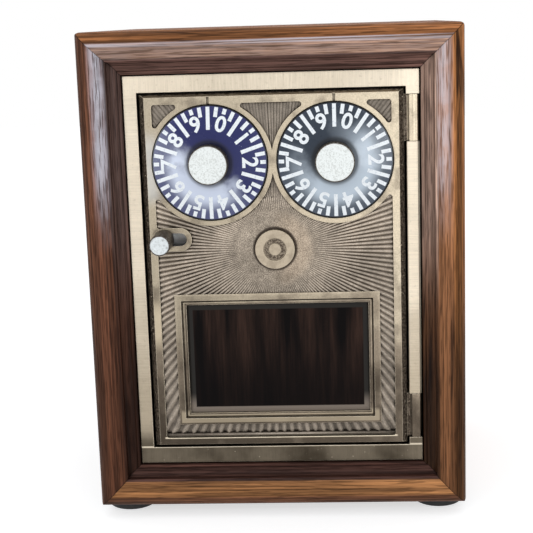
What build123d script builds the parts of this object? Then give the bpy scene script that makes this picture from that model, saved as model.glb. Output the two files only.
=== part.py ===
"""A small walnut box with a cast brass post office box door set in its front.

Millimetres, +Z up. The front faces -Y, the hinge is on the right (+X).
The origin is at the bottom centre of the whole object, between its feet.
Depths are counted backwards from the front face of the brass frame, so that
negative depths stand out in front of it.
"""

import math
import os

from build123d import *

# ---------------------------------------------------------------- brass frame
frame_width = 88.9
frame_height = 122.0
frame_side_border = 3.95
frame_end_border = 5.05
frame_plate = 3.0
frame_wall = 2.2
frame_depth = 16.0

# ------------------------------------------------------------------ wood case
board = 12.95
board_gap = 0.45
case_length = 101.6
bead_width = 1.1
bead_height = 0.9
cove_depth = 0.1
cove_end = 4.4
cove_rise_height = 1.07
cove_sag = 0.2
step_height = 3.2
face_height = 5.0
face_sag = 0.63
round_over = 4.1
corner_radius = 1.6
rabbet_width = 7.0
back_thickness = 6.0
back_gap = 0.15

# ----------------------------------------------------------------------- feet
foot_radius = 7.75
foot_height = 3.6
foot_rounding = 0.9
foot_inset = 0.3
foot_setback = 15.2
foot_recess_radius = 3.6
foot_recess = 2.2

# ----------------------------------------------------------------------- door
door_gap = 0.6
door_thickness = 3.6
bevel_side = 1.6
bevel_top = 1.0
bevel_bottom = 0.3
bevel_depth = 1.2
border_width = 2.15
field_depth = 1.2
pocket_corner = 0.8
index_width = 0.8
index_depth = 0.6

# ---------------------------------------------------------------------- hinge
pin_radius = 0.75
pin_depth = 1.4
pin_from_edge = 1.8
pin_end_inset = 1.0
knuckle_half = 1.45
knuckle_rounding = 0.5
knuckle_low = 7.5
knuckle_length = 14.0
knuckle_gap = 0.12
stile_ledge = 0.55
stile_ledge_depth = 0.6
arm_thickness = 1.65

# ---------------------------------------------------------------------- dials
dial_between = 3.0
dial_side_margin = 1.8
dial_top_margin = 2.55
dial_gap = 0.3
dial_seat_depth = 1.7
dial_rim_proud = 0.3
dial_cone_rise = 1.7
dial_cone_radius = 7.0
dial_knob_edge = 0.4
ring_width = 1.8
dial_knob_radius = 5.95
dial_knob_proud = 6.8
spindle_radius = 3.0
spindle_thread_radius = 2.0
bearing_radius = 6.0
bearing_depth = 6.4
wheel_inset = 8.5
wheel_thickness = 2.0
wheel_hub_radius = 4.2
wheel_hub = 1.0
gate_width = 3.4
gate_floor = 4.5
wheel_nut_across = 6.4
wheel_nut_height = 2.0
washer_radius = 5.2
washer_thickness = 0.6

# ---------------------------------------------------------------- latch, bolt
latch_inset = 4.3
latch_drop = 5.8
latch_travel = 5.0
slot_radius = 2.0
slot_rim_radius = 3.6
slot_rim_proud = 0.7
latch_knob_edge = 0.45
latch_knob_radius = 3.15
latch_knob_proud = 11.0
latch_stem_radius = 1.65
bolt_thickness = 1.6
bolt_reach = 0.3
bolt_above_stud = 4.25
bolt_run_width = 7.0
bolt_block_side = 6.5
bolt_block_drop = 3.7
nose_width = 6.6
arm_width = 1.4
finger_width = 2.6
finger_length = 0.8
guide_radius = 1.5
guide_thread_radius = 1.0
guide_boss_radius = 3.0
guide_head_radius = 2.9
guide_head = 1.0
guide_thread_length = 3.4
guide_left_inset = 11.0
guide_right_inset = 12.0
spring_radius = 2.2
spring_wire = 0.6
spring_length = 14.0
spring_lug = 2.5
tongue_length = 3.0
tongue_width = 2.2

# ------------------------------------------------------- centre stud and case
stud_drop = 9.45
stud_head_radius = 6.05
stud_head_proud = 0.6
stud_groove_radius = 3.55
stud_dot_radius = 1.85
stud_groove_depth = 0.5
stud_stem_radius = 1.9
stud_nut_across = 6.4
stud_nut_height = 2.2
lock_side_inset = 0.1
lock_below_stud = 4.85
lock_above_wheel = 9.5
lock_wall = 1.4
lock_room = 9.4
lock_corner = 3.0
post_radius = 2.9

# --------------------------------------------------------------------- window
window_side_margin = 10.0
window_below_stud = 17.35
window_low = 16.0
window_step = 1.5
window_step_depth = 0.9
window_rim = 2.0
glass_overlap = 1.55
glass_gap = 0.15
glass_thickness = 3.1
glass_bevel = 2.0
glass_bevel_depth = 0.5
glass_seat_depth = 2.0
retainer_width = 6.5
retainer_thickness = 1.2
retainer_boss_radius = 2.0

# --------------------------------------------------------------------- screws
case_screw_radius = 1.25
case_screw_length = 12.0
case_screw_head = 2.5
case_screw_head_height = 1.2
case_screw_inset = 3.4
back_screw_span = 96.0
frame_screw_radius = 1.4
frame_screw_length = 10.0
frame_screw_head = 2.9
frame_screw_head_height = 1.5
frame_screw_depth = 11.0
frame_screw_places = (36.0, 90.0)
foot_screw_length = 5.5
small_screw_radius = 0.9
small_screw_head = 1.9
small_screw_head_height = 1.0
small_screw_length = 3.2
fit = 0.05
play = 0.3

# ------------------------------------------------- places worked out from these
inner_width = frame_width + 2 * board_gap
inner_height = frame_height + 2 * board_gap
case_width = inner_width + 2 * board
case_height = inner_height + 2 * board
front_reach = max(dial_knob_proud, latch_knob_proud)
overall_depth = front_reach - face_height + case_length + case_screw_head_height
brass_y = front_reach - overall_depth / 2
back_y = overall_depth / 2 - case_screw_head_height
frame_low = foot_height + board + board_gap
foot_x = case_width / 2 - foot_radius - foot_inset
foot_front_y = brass_y - face_height + foot_setback
foot_back_y = back_y - foot_setback
foot_middle_y = (foot_front_y + foot_back_y) / 2
case_middle = foot_height + case_height / 2
opening_width = frame_width - 2 * frame_side_border
opening_height = frame_height - 2 * frame_end_border
door_width = opening_width - 2 * door_gap
door_height = opening_height - 2 * door_gap
door_middle = frame_low + frame_height / 2
border_out_width = door_width - 2 * bevel_side
border_out_height = door_height - bevel_top - bevel_bottom
border_middle = door_middle + (bevel_bottom - bevel_top) / 2
field_width = border_out_width - 2 * border_width
field_height = border_out_height - 2 * border_width
pin_x = frame_width / 2 - pin_from_edge
knuckle_high = frame_height - knuckle_low - knuckle_length
knuckle_back = pin_depth + knuckle_half
stile_length = knuckle_high - knuckle_low - knuckle_length - 2 * knuckle_gap
stile_middle = frame_low + frame_height / 2
dial_radius = (border_out_width - 2 * dial_side_margin - dial_between) / 4
dial_x = dial_radius + dial_between / 2
wheel_radius = dial_radius - wheel_inset
gate_depth = wheel_radius - gate_floor
dial_z = border_middle + border_out_height / 2 - dial_top_margin - dial_radius
dial_places = {"left": -dial_x, "right": dial_x}
ring_radius = dial_radius + ring_width
seat_radius = dial_radius + dial_gap
wheel_depth = bearing_depth + washer_thickness + play
bolt_back = wheel_depth + bolt_thickness
nut_depth = wheel_depth + wheel_thickness + wheel_hub
spindle_end = nut_depth + wheel_nut_height + play
latch_x = latch_inset - border_out_width / 2
latch_z = dial_z - dial_radius - latch_drop
stud_z = dial_z - dial_radius - stud_drop
bolt_z = stud_z + stud_stem_radius + bolt_above_stud + bolt_run_width / 2
bolt_run_end = dial_x - wheel_radius - latch_travel
lock_half_width = border_out_width / 2 - lock_side_inset
lock_low = stud_z - lock_below_stud
lock_top = dial_z + wheel_radius + lock_above_wheel
lock_inside = door_thickness + lock_room
lock_back = lock_inside + lock_wall
lock_middle = (lock_low + lock_top) / 2
window_width = border_out_width - 2 * window_side_margin
window_height = stud_z - window_below_stud - frame_low - window_low
window_z = frame_low + window_low + window_height / 2
window_out_width = window_width + 2 * (window_step + window_rim)
window_out_height = window_height + 2 * (window_step + window_rim)
glass_front = glass_seat_depth - glass_bevel_depth
retainer_depth = glass_front + glass_thickness
spring_end = bolt_run_end + spring_length


def level(depth):
    """An upright plane facing the front, at a depth behind the brass frame's face."""
    return Plane.XZ.offset(-(brass_y + depth))


def save(piece, name):
    """Names a finished piece and writes it to its own file."""
    piece.part.label = name
    export_step(piece.part, f"parts/{name}.step")


def foot_grid():
    """The four feet, about the middle of the case's underside."""
    return GridLocations(2 * foot_x, foot_back_y - foot_front_y, 2, 2)


def back_screw_grid():
    """The four screws of the back panel, along the shoulders of the side boards."""
    return GridLocations(inner_width + 2 * case_screw_inset, back_screw_span, 2, 2)


def retainer_grid():
    """The four bosses outside the corners of the glass."""
    clear = 2 * (glass_overlap + play + retainer_boss_radius)
    return GridLocations(window_width + clear, window_height + clear, 2, 2)


def dial_spots():
    """Both dials' axes, in a front view."""
    return Locations(*[(x, dial_z) for x in dial_places.values()])


def knuckle_spans():
    """Heights of the two knuckles that belong to the door, above the frame's bottom edge."""
    return [(low, low + knuckle_length) for low in (knuckle_low, knuckle_high)]


def on_field_edge(vertex):
    """Whether a corner of the sunk field lies on its outer edge."""
    at_side = abs(abs(vertex.X) - field_width / 2) < fit
    at_top = abs(vertex.Y - border_middle - field_height / 2) < fit
    return at_side or at_top


os.makedirs("parts", exist_ok=True)

# ================================================================= wooden case
# Each board is cut to one section: x runs outwards from the brass frame's edge,
# y runs backwards. Its front end is moulded: bead, cove, step, face, round-over.


outside = board_gap + board
bead_end = board_gap + bead_width
face_start = (cove_end, -step_height)
face_middle = ((cove_end + outside - round_over) / 2, face_sag - face_height)
round_start = (outside - round_over, -face_height)
round_end = (outside, round_over - face_height)
round_out = round_over * math.sqrt(0.5)
cove_start = (bead_end, -cove_depth)
cove_rise = (cove_end, -cove_rise_height)
board_end = back_y - brass_y
with BuildSketch() as board_section:
    with BuildLine():
        Line((board_gap, board_end - back_thickness), (board_gap, -bead_height / 2))
        ThreePointArc(
            (board_gap, -bead_height / 2),
            ((board_gap + bead_end) / 2, -bead_height),
            (bead_end, -bead_height / 2),
        )
        Line((bead_end, -bead_height / 2), cove_start)
        ThreePointArc(cove_start, ((bead_end + cove_end) / 2, -cove_sag), cove_rise)
        Line(cove_rise, face_start)
        ThreePointArc(face_start, face_middle, round_start)
        ThreePointArc(
            round_start,
            (outside - round_over + round_out, -face_height + round_over - round_out),
            round_end,
        )
        Polyline(
            round_end,
            (outside, board_end),
            (board_gap + rabbet_width, board_end),
            (board_gap + rabbet_width, board_end - back_thickness),
            (board_gap, board_end - back_thickness),
        )
    make_face()


def mitre_outline(outward, half_across, half_along):
    """The front view of one board: its outer edge, and mitres running in at 45 degrees."""
    along = Vector(0, 1, 0).cross(outward)
    reach = board + board_gap
    corners = [
        outward * half_across + along * half_along,
        outward * half_across - along * half_along,
        outward * (half_across - reach) - along * (half_along - reach),
        outward * (half_across - reach) + along * (half_along - reach),
    ]
    return [(corner.X, corner.Z) for corner in corners]


board_sides = {
    "top_board": (Vector(0, 0, 1), case_height / 2, case_width / 2),
    "bottom_board": (Vector(0, 0, -1), case_height / 2, case_width / 2),
    "left_board": (Vector(-1, 0, 0), case_width / 2, case_height / 2),
    "right_board": (Vector(1, 0, 0), case_width / 2, case_height / 2),
}
frame_seat = frame_width / 2 - frame_wall
frame_screw_rows = [(brass_y + frame_screw_depth, frame_low + height) for height in frame_screw_places]

for name, (outward, half_across, half_along) in board_sides.items():
    edge = outward * (half_across - board - board_gap) + Vector(0, brass_y, case_middle)
    with BuildPart() as wood:
        with BuildSketch(Plane(origin=edge, x_dir=outward, z_dir=outward.cross(Vector(0, 1, 0)))):
            add(board_section.sketch)
        extrude(amount=half_along, both=True)
        with BuildSketch(Plane.XZ.offset(-back_y)):
            with Locations((0, case_middle)):
                Polygon(*mitre_outline(outward, half_across, half_along), align=None)
        extrude(amount=2 * back_y, mode=Mode.INTERSECT)
        with BuildSketch(Plane.XZ.offset(-back_y)):
            with Locations((0, case_middle)):
                RectangleRounded(case_width, case_height, corner_radius)
        extrude(amount=2 * back_y, mode=Mode.INTERSECT)
        if outward.X:
            with BuildSketch(Plane.YZ.offset(outward.X * (frame_seat + frame_screw_length + play))):
                with Locations(*frame_screw_rows):
                    Circle(frame_screw_radius + fit)
            extrude(amount=-outward.X * frame_screw_length, mode=Mode.SUBTRACT)
        if outward.Z < 0:
            with BuildSketch(Plane.XY.offset(foot_height + foot_screw_length)):
                with Locations((0, foot_middle_y)), foot_grid():
                    Circle(case_screw_radius + fit)
            extrude(amount=-foot_screw_length, mode=Mode.SUBTRACT)
        with BuildSketch(Plane.XZ.offset(-back_y)):
            with Locations((0, case_middle)), back_screw_grid():
                Circle(case_screw_radius + fit)
        extrude(amount=case_screw_length, mode=Mode.SUBTRACT)
    save(wood, name)

# The back panel lies in the boards' rabbets and is screwed to their shoulders.
with BuildPart() as back_panel:
    with BuildSketch(Plane.XZ.offset(-back_y)):
        with Locations((0, case_middle)):
            Rectangle(
                inner_width + 2 * (rabbet_width - back_gap),
                inner_height + 2 * (rabbet_width - back_gap),
            )
            with back_screw_grid():
                Circle(case_screw_radius + fit, mode=Mode.SUBTRACT)
    extrude(amount=back_thickness)
save(back_panel, "back_panel")

with BuildPart() as back_panel_screws:
    with BuildSketch(Plane.XZ.offset(-back_y)):
        with Locations((0, case_middle)), back_screw_grid():
            Circle(case_screw_radius)
    extrude(amount=case_screw_length - play)
    with BuildSketch(Plane.XZ.offset(-back_y)):
        with Locations((0, case_middle)), back_screw_grid():
            Circle(case_screw_head)
    extrude(amount=-case_screw_head_height)
    fillet(back_panel_screws.edges().group_by(Axis.Y)[-1], case_screw_head_height / 2)
save(back_panel_screws, "back_panel_screws")

# Rubber feet under the four corners, each held by a screw in its recess.
with BuildPart() as feet:
    with BuildSketch(Plane.XY):
        with Locations((0, foot_middle_y)), foot_grid():
            Circle(foot_radius)
    extrude(amount=foot_height)
    fillet(feet.edges().group_by(Axis.Z)[0], foot_rounding)
    with BuildSketch(Plane.XY):
        with Locations((0, foot_middle_y)), foot_grid():
            Circle(foot_recess_radius)
    extrude(amount=foot_recess, mode=Mode.SUBTRACT)
    with BuildSketch(Plane.XY):
        with Locations((0, foot_middle_y)), foot_grid():
            Circle(case_screw_radius + fit)
    extrude(amount=foot_height, mode=Mode.SUBTRACT)
save(feet, "feet")

with BuildPart() as foot_screws:
    with BuildSketch(Plane.XY.offset(foot_recess)):
        with Locations((0, foot_middle_y)), foot_grid():
            Circle(case_screw_radius)
    extrude(amount=foot_height - foot_recess + foot_screw_length - play)
    with BuildSketch(Plane.XY.offset(foot_recess)):
        with Locations((0, foot_middle_y)), foot_grid():
            Circle(case_screw_head)
    extrude(amount=-case_screw_head_height)
save(foot_screws, "foot_screws")

# ================================================================ brass frame
with BuildPart() as door_frame:
    with BuildSketch(level(frame_depth)):
        with Locations((0, door_middle)):
            Rectangle(frame_width, frame_height)
            Rectangle(frame_width - 2 * frame_wall, frame_height - 2 * frame_wall, mode=Mode.SUBTRACT)
    extrude(amount=frame_depth)
    with BuildSketch(level(frame_plate)):
        with Locations((0, door_middle)):
            Rectangle(frame_width, frame_height)
            Rectangle(opening_width, opening_height, mode=Mode.SUBTRACT)
    extrude(amount=frame_plate)
    # notches in the right border for the door's two knuckles
    with BuildSketch(level(knuckle_back + play)):
        for low, high in knuckle_spans():
            with Locations((opening_width / 2, frame_low + low - knuckle_gap)):
                Rectangle(
                    frame_side_border, high - low + 2 * knuckle_gap, align=(Align.MIN, Align.MIN)
                )
    extrude(amount=knuckle_back + play, mode=Mode.SUBTRACT)
    # the long middle knuckle has a lower ledge along its outer side
    with BuildSketch(level(stile_ledge_depth)):
        with Locations((frame_width / 2, stile_middle)):
            Rectangle(stile_ledge, stile_length, align=(Align.MAX, Align.CENTER))
    extrude(amount=stile_ledge_depth, mode=Mode.SUBTRACT)
    stile_edge = (
        door_frame.edges()
        .filter_by(Axis.Z)
        .sort_by_distance((opening_width / 2, brass_y, stile_middle))[0]
    )
    fillet(stile_edge, knuckle_rounding)
    with BuildSketch(Plane.XY.offset(frame_low)):
        with Locations((pin_x, brass_y + pin_depth)):
            Circle(pin_radius + fit / 2)
    extrude(amount=frame_height - pin_end_inset, mode=Mode.SUBTRACT)
    with BuildSketch(Plane.YZ.offset(-frame_width / 2)):
        with Locations(*frame_screw_rows):
            Circle(frame_screw_radius + fit)
    extrude(amount=frame_width, mode=Mode.SUBTRACT)
save(door_frame, "door_frame")

with BuildPart() as frame_screws:
    for side in (-1, 1):
        with BuildSketch(Plane.YZ.offset(side * frame_seat)):
            with Locations(*frame_screw_rows):
                Circle(frame_screw_radius)
        extrude(amount=side * frame_screw_length)
        with BuildSketch(Plane.YZ.offset(side * frame_seat)):
            with Locations(*frame_screw_rows):
                Circle(frame_screw_head)
        extrude(amount=-side * frame_screw_head_height)
save(frame_screws, "frame_screws")

with BuildPart() as hinge_pin:
    with BuildSketch(Plane.XY.offset(frame_low + pin_end_inset)):
        with Locations((pin_x, brass_y + pin_depth)):
            Circle(pin_radius)
    extrude(amount=frame_height - 2 * pin_end_inset)
save(hinge_pin, "hinge_pin")

# ======================================================================= door
post_x = lock_half_width - lock_wall - post_radius - play
post_high = lock_top - lock_wall - post_radius - play
post_low = lock_low + lock_wall + post_radius + play
posts = [(-post_x, post_high), (post_x, post_high), (post_x, post_low)]
guide_places = (latch_x + guide_left_inset, bolt_run_end - guide_right_inset)
guides = [(x, bolt_z) for x in guide_places]
slot_middle = latch_x + latch_travel / 2
index_reach = border_middle + border_out_height / 2 - dial_z

with BuildPart() as door_plate:
    with BuildSketch(level(door_thickness)):
        with Locations((0, door_middle)):
            Rectangle(door_width, door_height)
    extrude(amount=door_thickness - bevel_depth)
    with BuildSketch(level(bevel_depth)):
        with Locations((0, door_middle)):
            Rectangle(door_width, door_height)
    with BuildSketch(level(0)):
        with Locations((0, border_middle)):
            Rectangle(border_out_width, border_out_height)
    loft()
    # the sunk field: all of the face inside the border, except for the dials'
    # rings, the window's frame and the latch slot's rim
    with BuildSketch(level(field_depth)) as field:
        with Locations((0, border_middle)):
            Rectangle(field_width, field_height)
        with dial_spots():
            Circle(ring_radius, mode=Mode.SUBTRACT)
        with Locations((0, window_z)):
            Rectangle(window_out_width, window_out_height, mode=Mode.SUBTRACT)
        with Locations((slot_middle, latch_z)):
            SlotOverall(latch_travel + 2 * slot_rim_radius, 2 * slot_rim_radius, mode=Mode.SUBTRACT)
        fillet(field.vertices().filter_by(on_field_edge), pocket_corner)
    extrude(amount=field_depth, mode=Mode.SUBTRACT)
    # the latch slot's raised rim
    with BuildSketch(level(door_thickness)):
        with Locations((slot_middle, latch_z)):
            SlotOverall(latch_travel + 2 * slot_rim_radius, 2 * slot_rim_radius)
    extrude(amount=door_thickness + slot_rim_proud)
    # behind: bearings for the dials, bosses for the bolt's guides, posts for the
    # lock case, bosses for the glass's retainer, and the lug the spring pushes on
    with BuildSketch(level(bearing_depth)):
        with dial_spots():
            Circle(bearing_radius)
    extrude(amount=bearing_depth - dial_seat_depth)
    with BuildSketch(level(wheel_depth - play)):
        with Locations(*guides):
            Circle(guide_boss_radius)
    extrude(amount=wheel_depth - play - door_thickness)
    with BuildSketch(level(lock_inside)):
        with Locations(*posts):
            Circle(post_radius)
    extrude(amount=lock_room)
    with BuildSketch(level(retainer_depth)):
        with Locations((0, window_z)), retainer_grid():
            Circle(retainer_boss_radius)
    extrude(amount=retainer_depth - door_thickness)
    with BuildSketch(level(bolt_back + spring_radius)):
        with Locations((spring_end, bolt_z)):
            Rectangle(spring_lug, 2 * spring_radius, align=(Align.MIN, Align.CENTER))
    extrude(amount=bolt_back + spring_radius - door_thickness)
    # the dials' seats, their index grooves and spindle bores
    with BuildSketch(level(dial_seat_depth)):
        with dial_spots():
            Circle(seat_radius)
    extrude(amount=dial_seat_depth, mode=Mode.SUBTRACT)
    with BuildSketch(level(index_depth)):
        with dial_spots():
            Rectangle(index_width, index_reach, align=(Align.CENTER, Align.MIN))
    extrude(amount=index_depth, mode=Mode.SUBTRACT)
    with BuildSketch(level(bearing_depth)):
        with dial_spots():
            Circle(spindle_radius + fit)
    extrude(amount=bearing_depth, mode=Mode.SUBTRACT)
    # the window: its stepped frame, the aperture, and the glass's seat behind
    with BuildSketch(level(window_step_depth)):
        with Locations((0, window_z)):
            Rectangle(window_width + 2 * window_step, window_height + 2 * window_step)
    extrude(amount=window_step_depth, mode=Mode.SUBTRACT)
    with BuildSketch(level(door_thickness)):
        with Locations((0, window_z)):
            Rectangle(window_width, window_height)
    extrude(amount=door_thickness, mode=Mode.SUBTRACT)
    with BuildSketch(level(door_thickness)):
        with Locations((0, window_z)):
            Rectangle(window_width + 2 * glass_overlap, window_height + 2 * glass_overlap)
    extrude(amount=door_thickness - glass_seat_depth, mode=Mode.SUBTRACT)
    # holes: the latch slot, the stud, and the screws behind
    with BuildSketch(level(door_thickness)):
        with Locations((slot_middle, latch_z)):
            SlotOverall(latch_travel + 2 * slot_radius, 2 * slot_radius)
        with Locations((0, stud_z)):
            Circle(stud_stem_radius + fit)
    extrude(amount=door_thickness + slot_rim_proud, mode=Mode.SUBTRACT)
    with BuildSketch(level(wheel_depth - play)):
        with Locations(*guides):
            Circle(guide_thread_radius + fit)
    extrude(amount=guide_thread_length, mode=Mode.SUBTRACT)
    with BuildSketch(level(lock_inside)):
        with Locations(*posts):
            Circle(small_screw_radius + fit)
    extrude(amount=small_screw_length - lock_wall + play, mode=Mode.SUBTRACT)
    with BuildSketch(level(retainer_depth)):
        with Locations((0, window_z)), retainer_grid():
            Circle(small_screw_radius + fit)
    extrude(amount=small_screw_length - retainer_thickness, mode=Mode.SUBTRACT)
    # the two knuckles: square in front, round behind the pin, on short arms
    for low, high in knuckle_spans():
        with BuildSketch(Plane.XY.offset(frame_low + low)):
            with Locations((door_width / 2, brass_y + knuckle_back)):
                Rectangle(
                    pin_x - door_width / 2, arm_thickness, align=(Align.MIN, Align.MAX)
                )
            with Locations((pin_x, brass_y)):
                Rectangle(2 * knuckle_half, pin_depth, align=(Align.CENTER, Align.MIN))
            with Locations((pin_x, brass_y + pin_depth)):
                Circle(knuckle_half)
        extrude(amount=high - low)
        corners = [
            (pin_x + side * knuckle_half, brass_y, frame_low + (low + high) / 2) for side in (-1, 1)
        ]
        for corner in corners:
            fillet(door_plate.edges().filter_by(Axis.Z).sort_by_distance(corner)[0], knuckle_rounding)
        with BuildSketch(Plane.XY.offset(frame_low + low)):
            with Locations((pin_x, brass_y + pin_depth)):
                Circle(pin_radius + fit)
        extrude(amount=high - low, mode=Mode.SUBTRACT)
save(door_plate, "door_plate")

# A bevelled pane, pressed against the aperture's inner edge by its retainer.
glass_edge = glass_overlap - glass_gap
glass_edge_depth = glass_seat_depth + glass_bevel_depth / glass_bevel * glass_edge
with BuildPart() as window_glass:
    with BuildSketch(level(retainer_depth)):
        with Locations((0, window_z)):
            Rectangle(window_width + 2 * glass_edge, window_height + 2 * glass_edge)
    extrude(amount=retainer_depth - glass_edge_depth)
    with BuildSketch(level(glass_edge_depth)):
        with Locations((0, window_z)):
            Rectangle(window_width + 2 * glass_edge, window_height + 2 * glass_edge)
    with BuildSketch(level(glass_front)):
        with Locations((0, window_z)):
            Rectangle(window_width - 2 * glass_bevel, window_height - 2 * glass_bevel)
    loft()
save(window_glass, "window_glass")

with BuildPart() as glass_retainer:
    with BuildSketch(level(retainer_depth + retainer_thickness)):
        with Locations((0, window_z)):
            Rectangle(window_width + 2 * retainer_width, window_height + 2 * retainer_width)
            Rectangle(window_width, window_height, mode=Mode.SUBTRACT)
            with retainer_grid():
                Circle(small_screw_radius + fit, mode=Mode.SUBTRACT)
    extrude(amount=retainer_thickness)
save(glass_retainer, "glass_retainer")

with BuildPart() as retainer_screws:
    with BuildSketch(level(retainer_depth + retainer_thickness)):
        with Locations((0, window_z)), retainer_grid():
            Circle(small_screw_radius)
    extrude(amount=small_screw_length - play)
    with BuildSketch(level(retainer_depth + retainer_thickness + small_screw_head_height)):
        with Locations((0, window_z)), retainer_grid():
            Circle(small_screw_head)
    extrude(amount=small_screw_head_height)
save(retainer_screws, "retainer_screws")

# ========================================================== lock on the door
with BuildPart() as lock_case:
    with BuildSketch(level(lock_back)):
        with Locations((0, lock_middle)):
            RectangleRounded(2 * lock_half_width, lock_top - lock_low, lock_corner)
    extrude(amount=lock_back - door_thickness)
    with BuildSketch(level(lock_inside)):
        with Locations((0, lock_middle)):
            RectangleRounded(
                2 * (lock_half_width - lock_wall),
                lock_top - lock_low - 2 * lock_wall,
                lock_corner - lock_wall,
            )
    extrude(amount=lock_room, mode=Mode.SUBTRACT)
    with BuildSketch(level(bolt_back + play)):
        with Locations((-lock_half_width, latch_z)):
            Rectangle(lock_wall, nose_width + 2 * play, align=(Align.MIN, Align.CENTER))
    extrude(amount=bolt_thickness + 2 * play, mode=Mode.SUBTRACT)
    with BuildSketch(level(lock_back)):
        with Locations(*posts):
            Circle(small_screw_radius + fit)
        with Locations((0, stud_z)):
            Circle(stud_stem_radius + fit)
    extrude(amount=lock_wall, mode=Mode.SUBTRACT)
save(lock_case, "lock_case")

with BuildPart() as lock_case_screws:
    with BuildSketch(level(lock_back)):
        with Locations(*posts):
            Circle(small_screw_radius)
    extrude(amount=small_screw_length)
    with BuildSketch(level(lock_back + small_screw_head_height)):
        with Locations(*posts):
            Circle(small_screw_head)
    extrude(amount=small_screw_head_height)
save(lock_case_screws, "lock_case_screws")

with BuildPart() as centre_stud:
    with BuildSketch(level(field_depth)):
        with Locations((0, stud_z)):
            Circle(stud_head_radius)
    extrude(amount=field_depth + stud_head_proud)
    with BuildSketch(level(stud_groove_depth - stud_head_proud)):
        with Locations((0, stud_z)):
            Circle(stud_groove_radius)
            Circle(stud_dot_radius, mode=Mode.SUBTRACT)
    extrude(amount=stud_groove_depth, mode=Mode.SUBTRACT)
    with BuildSketch(level(lock_back + stud_nut_height + play)):
        with Locations((0, stud_z)):
            Circle(stud_stem_radius)
    extrude(amount=lock_back + stud_nut_height + play - field_depth)
save(centre_stud, "centre_stud")

with BuildPart() as stud_nut:
    with BuildSketch(level(lock_back + stud_nut_height)):
        with Locations((0, stud_z)):
            RegularPolygon(stud_nut_across / 2, 6, major_radius=False)
            Circle(stud_stem_radius + fit, mode=Mode.SUBTRACT)
    extrude(amount=stud_nut_height)
save(stud_nut, "stud_nut")

# Shoulder screws that the bolt's slots run on.
guide_shoulder = bolt_back + play
with BuildPart() as bolt_guide_screws:
    with BuildSketch(level(guide_shoulder)):
        with Locations(*guides):
            Circle(guide_radius)
    extrude(amount=guide_shoulder - wheel_depth + play)
    with BuildSketch(level(guide_shoulder + guide_head)):
        with Locations(*guides):
            Circle(guide_head_radius)
    extrude(amount=guide_head)
    with BuildSketch(level(wheel_depth - play)):
        with Locations(*guides):
            Circle(guide_thread_radius)
    extrude(amount=guide_thread_length - play)
save(bolt_guide_screws, "bolt_guide_screws")

bolt_centre_depth = wheel_depth + bolt_thickness / 2
with BuildPart() as bolt_spring:
    with BuildSketch(Plane.YZ.offset(bolt_run_end)):
        with Locations((brass_y + bolt_centre_depth, bolt_z)):
            Circle(spring_radius)
            Circle(spring_radius - spring_wire, mode=Mode.SUBTRACT)
    extrude(amount=spring_length)
save(bolt_spring, "bolt_spring")

# ================================================================ latch, bolt
with BuildPart() as latch_knob:
    with BuildSketch(level(-slot_rim_proud - play)):
        with Locations((latch_x, latch_z)):
            Circle(latch_knob_radius)
    extrude(amount=latch_knob_proud - slot_rim_proud - play)
    chamfer(latch_knob.edges().group_by(Axis.Y)[0], latch_knob_edge)
    with BuildSketch(level(bolt_back)):
        with Locations((latch_x, latch_z)):
            Circle(latch_stem_radius)
    extrude(amount=bolt_back + slot_rim_proud + play)
save(latch_knob, "latch_knob")

bolt_left = lock_wall + play - lock_half_width
bolt_nose = bolt_reach - door_width / 2
finger_top = dial_z + finger_width / 2
bolt_run_low = bolt_z - bolt_run_width / 2
bolt_block_end = latch_x + bolt_block_side
bolt_block_low = latch_z - bolt_block_drop
with BuildPart() as bolt_plate:
    with BuildSketch(level(bolt_back)):
        with Locations((bolt_left, bolt_run_low)):
            Rectangle(bolt_run_end - bolt_left, bolt_run_width, align=(Align.MIN, Align.MIN))
        with Locations((bolt_left, bolt_block_low)):
            Rectangle(
                bolt_block_end - bolt_left, bolt_z - bolt_block_low, align=(Align.MIN, Align.MIN)
            )
        with Locations((bolt_nose, latch_z)):
            Rectangle(bolt_block_end - bolt_nose, nose_width, align=(Align.MIN, Align.CENTER))
        for x in dial_places.values():
            finger_end = x - wheel_radius - play - latch_travel
            with Locations((finger_end - finger_length, bolt_z)):
                Rectangle(arm_width, finger_top - bolt_z, align=(Align.MAX, Align.MIN))
            with Locations((finger_end, finger_top)):
                Rectangle(finger_length, finger_width, align=(Align.MAX, Align.MAX))
        with Locations((bolt_run_end, bolt_z)):
            Rectangle(tongue_length, tongue_width, align=(Align.MIN, Align.CENTER))
        with Locations(*[(x - latch_travel / 2, z) for x, z in guides]):
            SlotOverall(
                latch_travel + 2 * (guide_radius + play), 2 * (guide_radius + play), mode=Mode.SUBTRACT
            )
        with Locations((latch_x, latch_z)):
            Circle(latch_stem_radius + fit / 2, mode=Mode.SUBTRACT)
    extrude(amount=bolt_thickness)
save(bolt_plate, "bolt_plate")

# ====================================================================== dials
# Each dial: an enamelled disc and a knob on a spindle, which turns a slotted
# wheel inside the lock; a washer under the wheel keeps it where it is set.
disc_back = dial_seat_depth - dial_gap
cone_top = -dial_rim_proud - dial_cone_rise
knob_bore = dial_knob_proud + cone_top - dial_knob_edge - play

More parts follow.
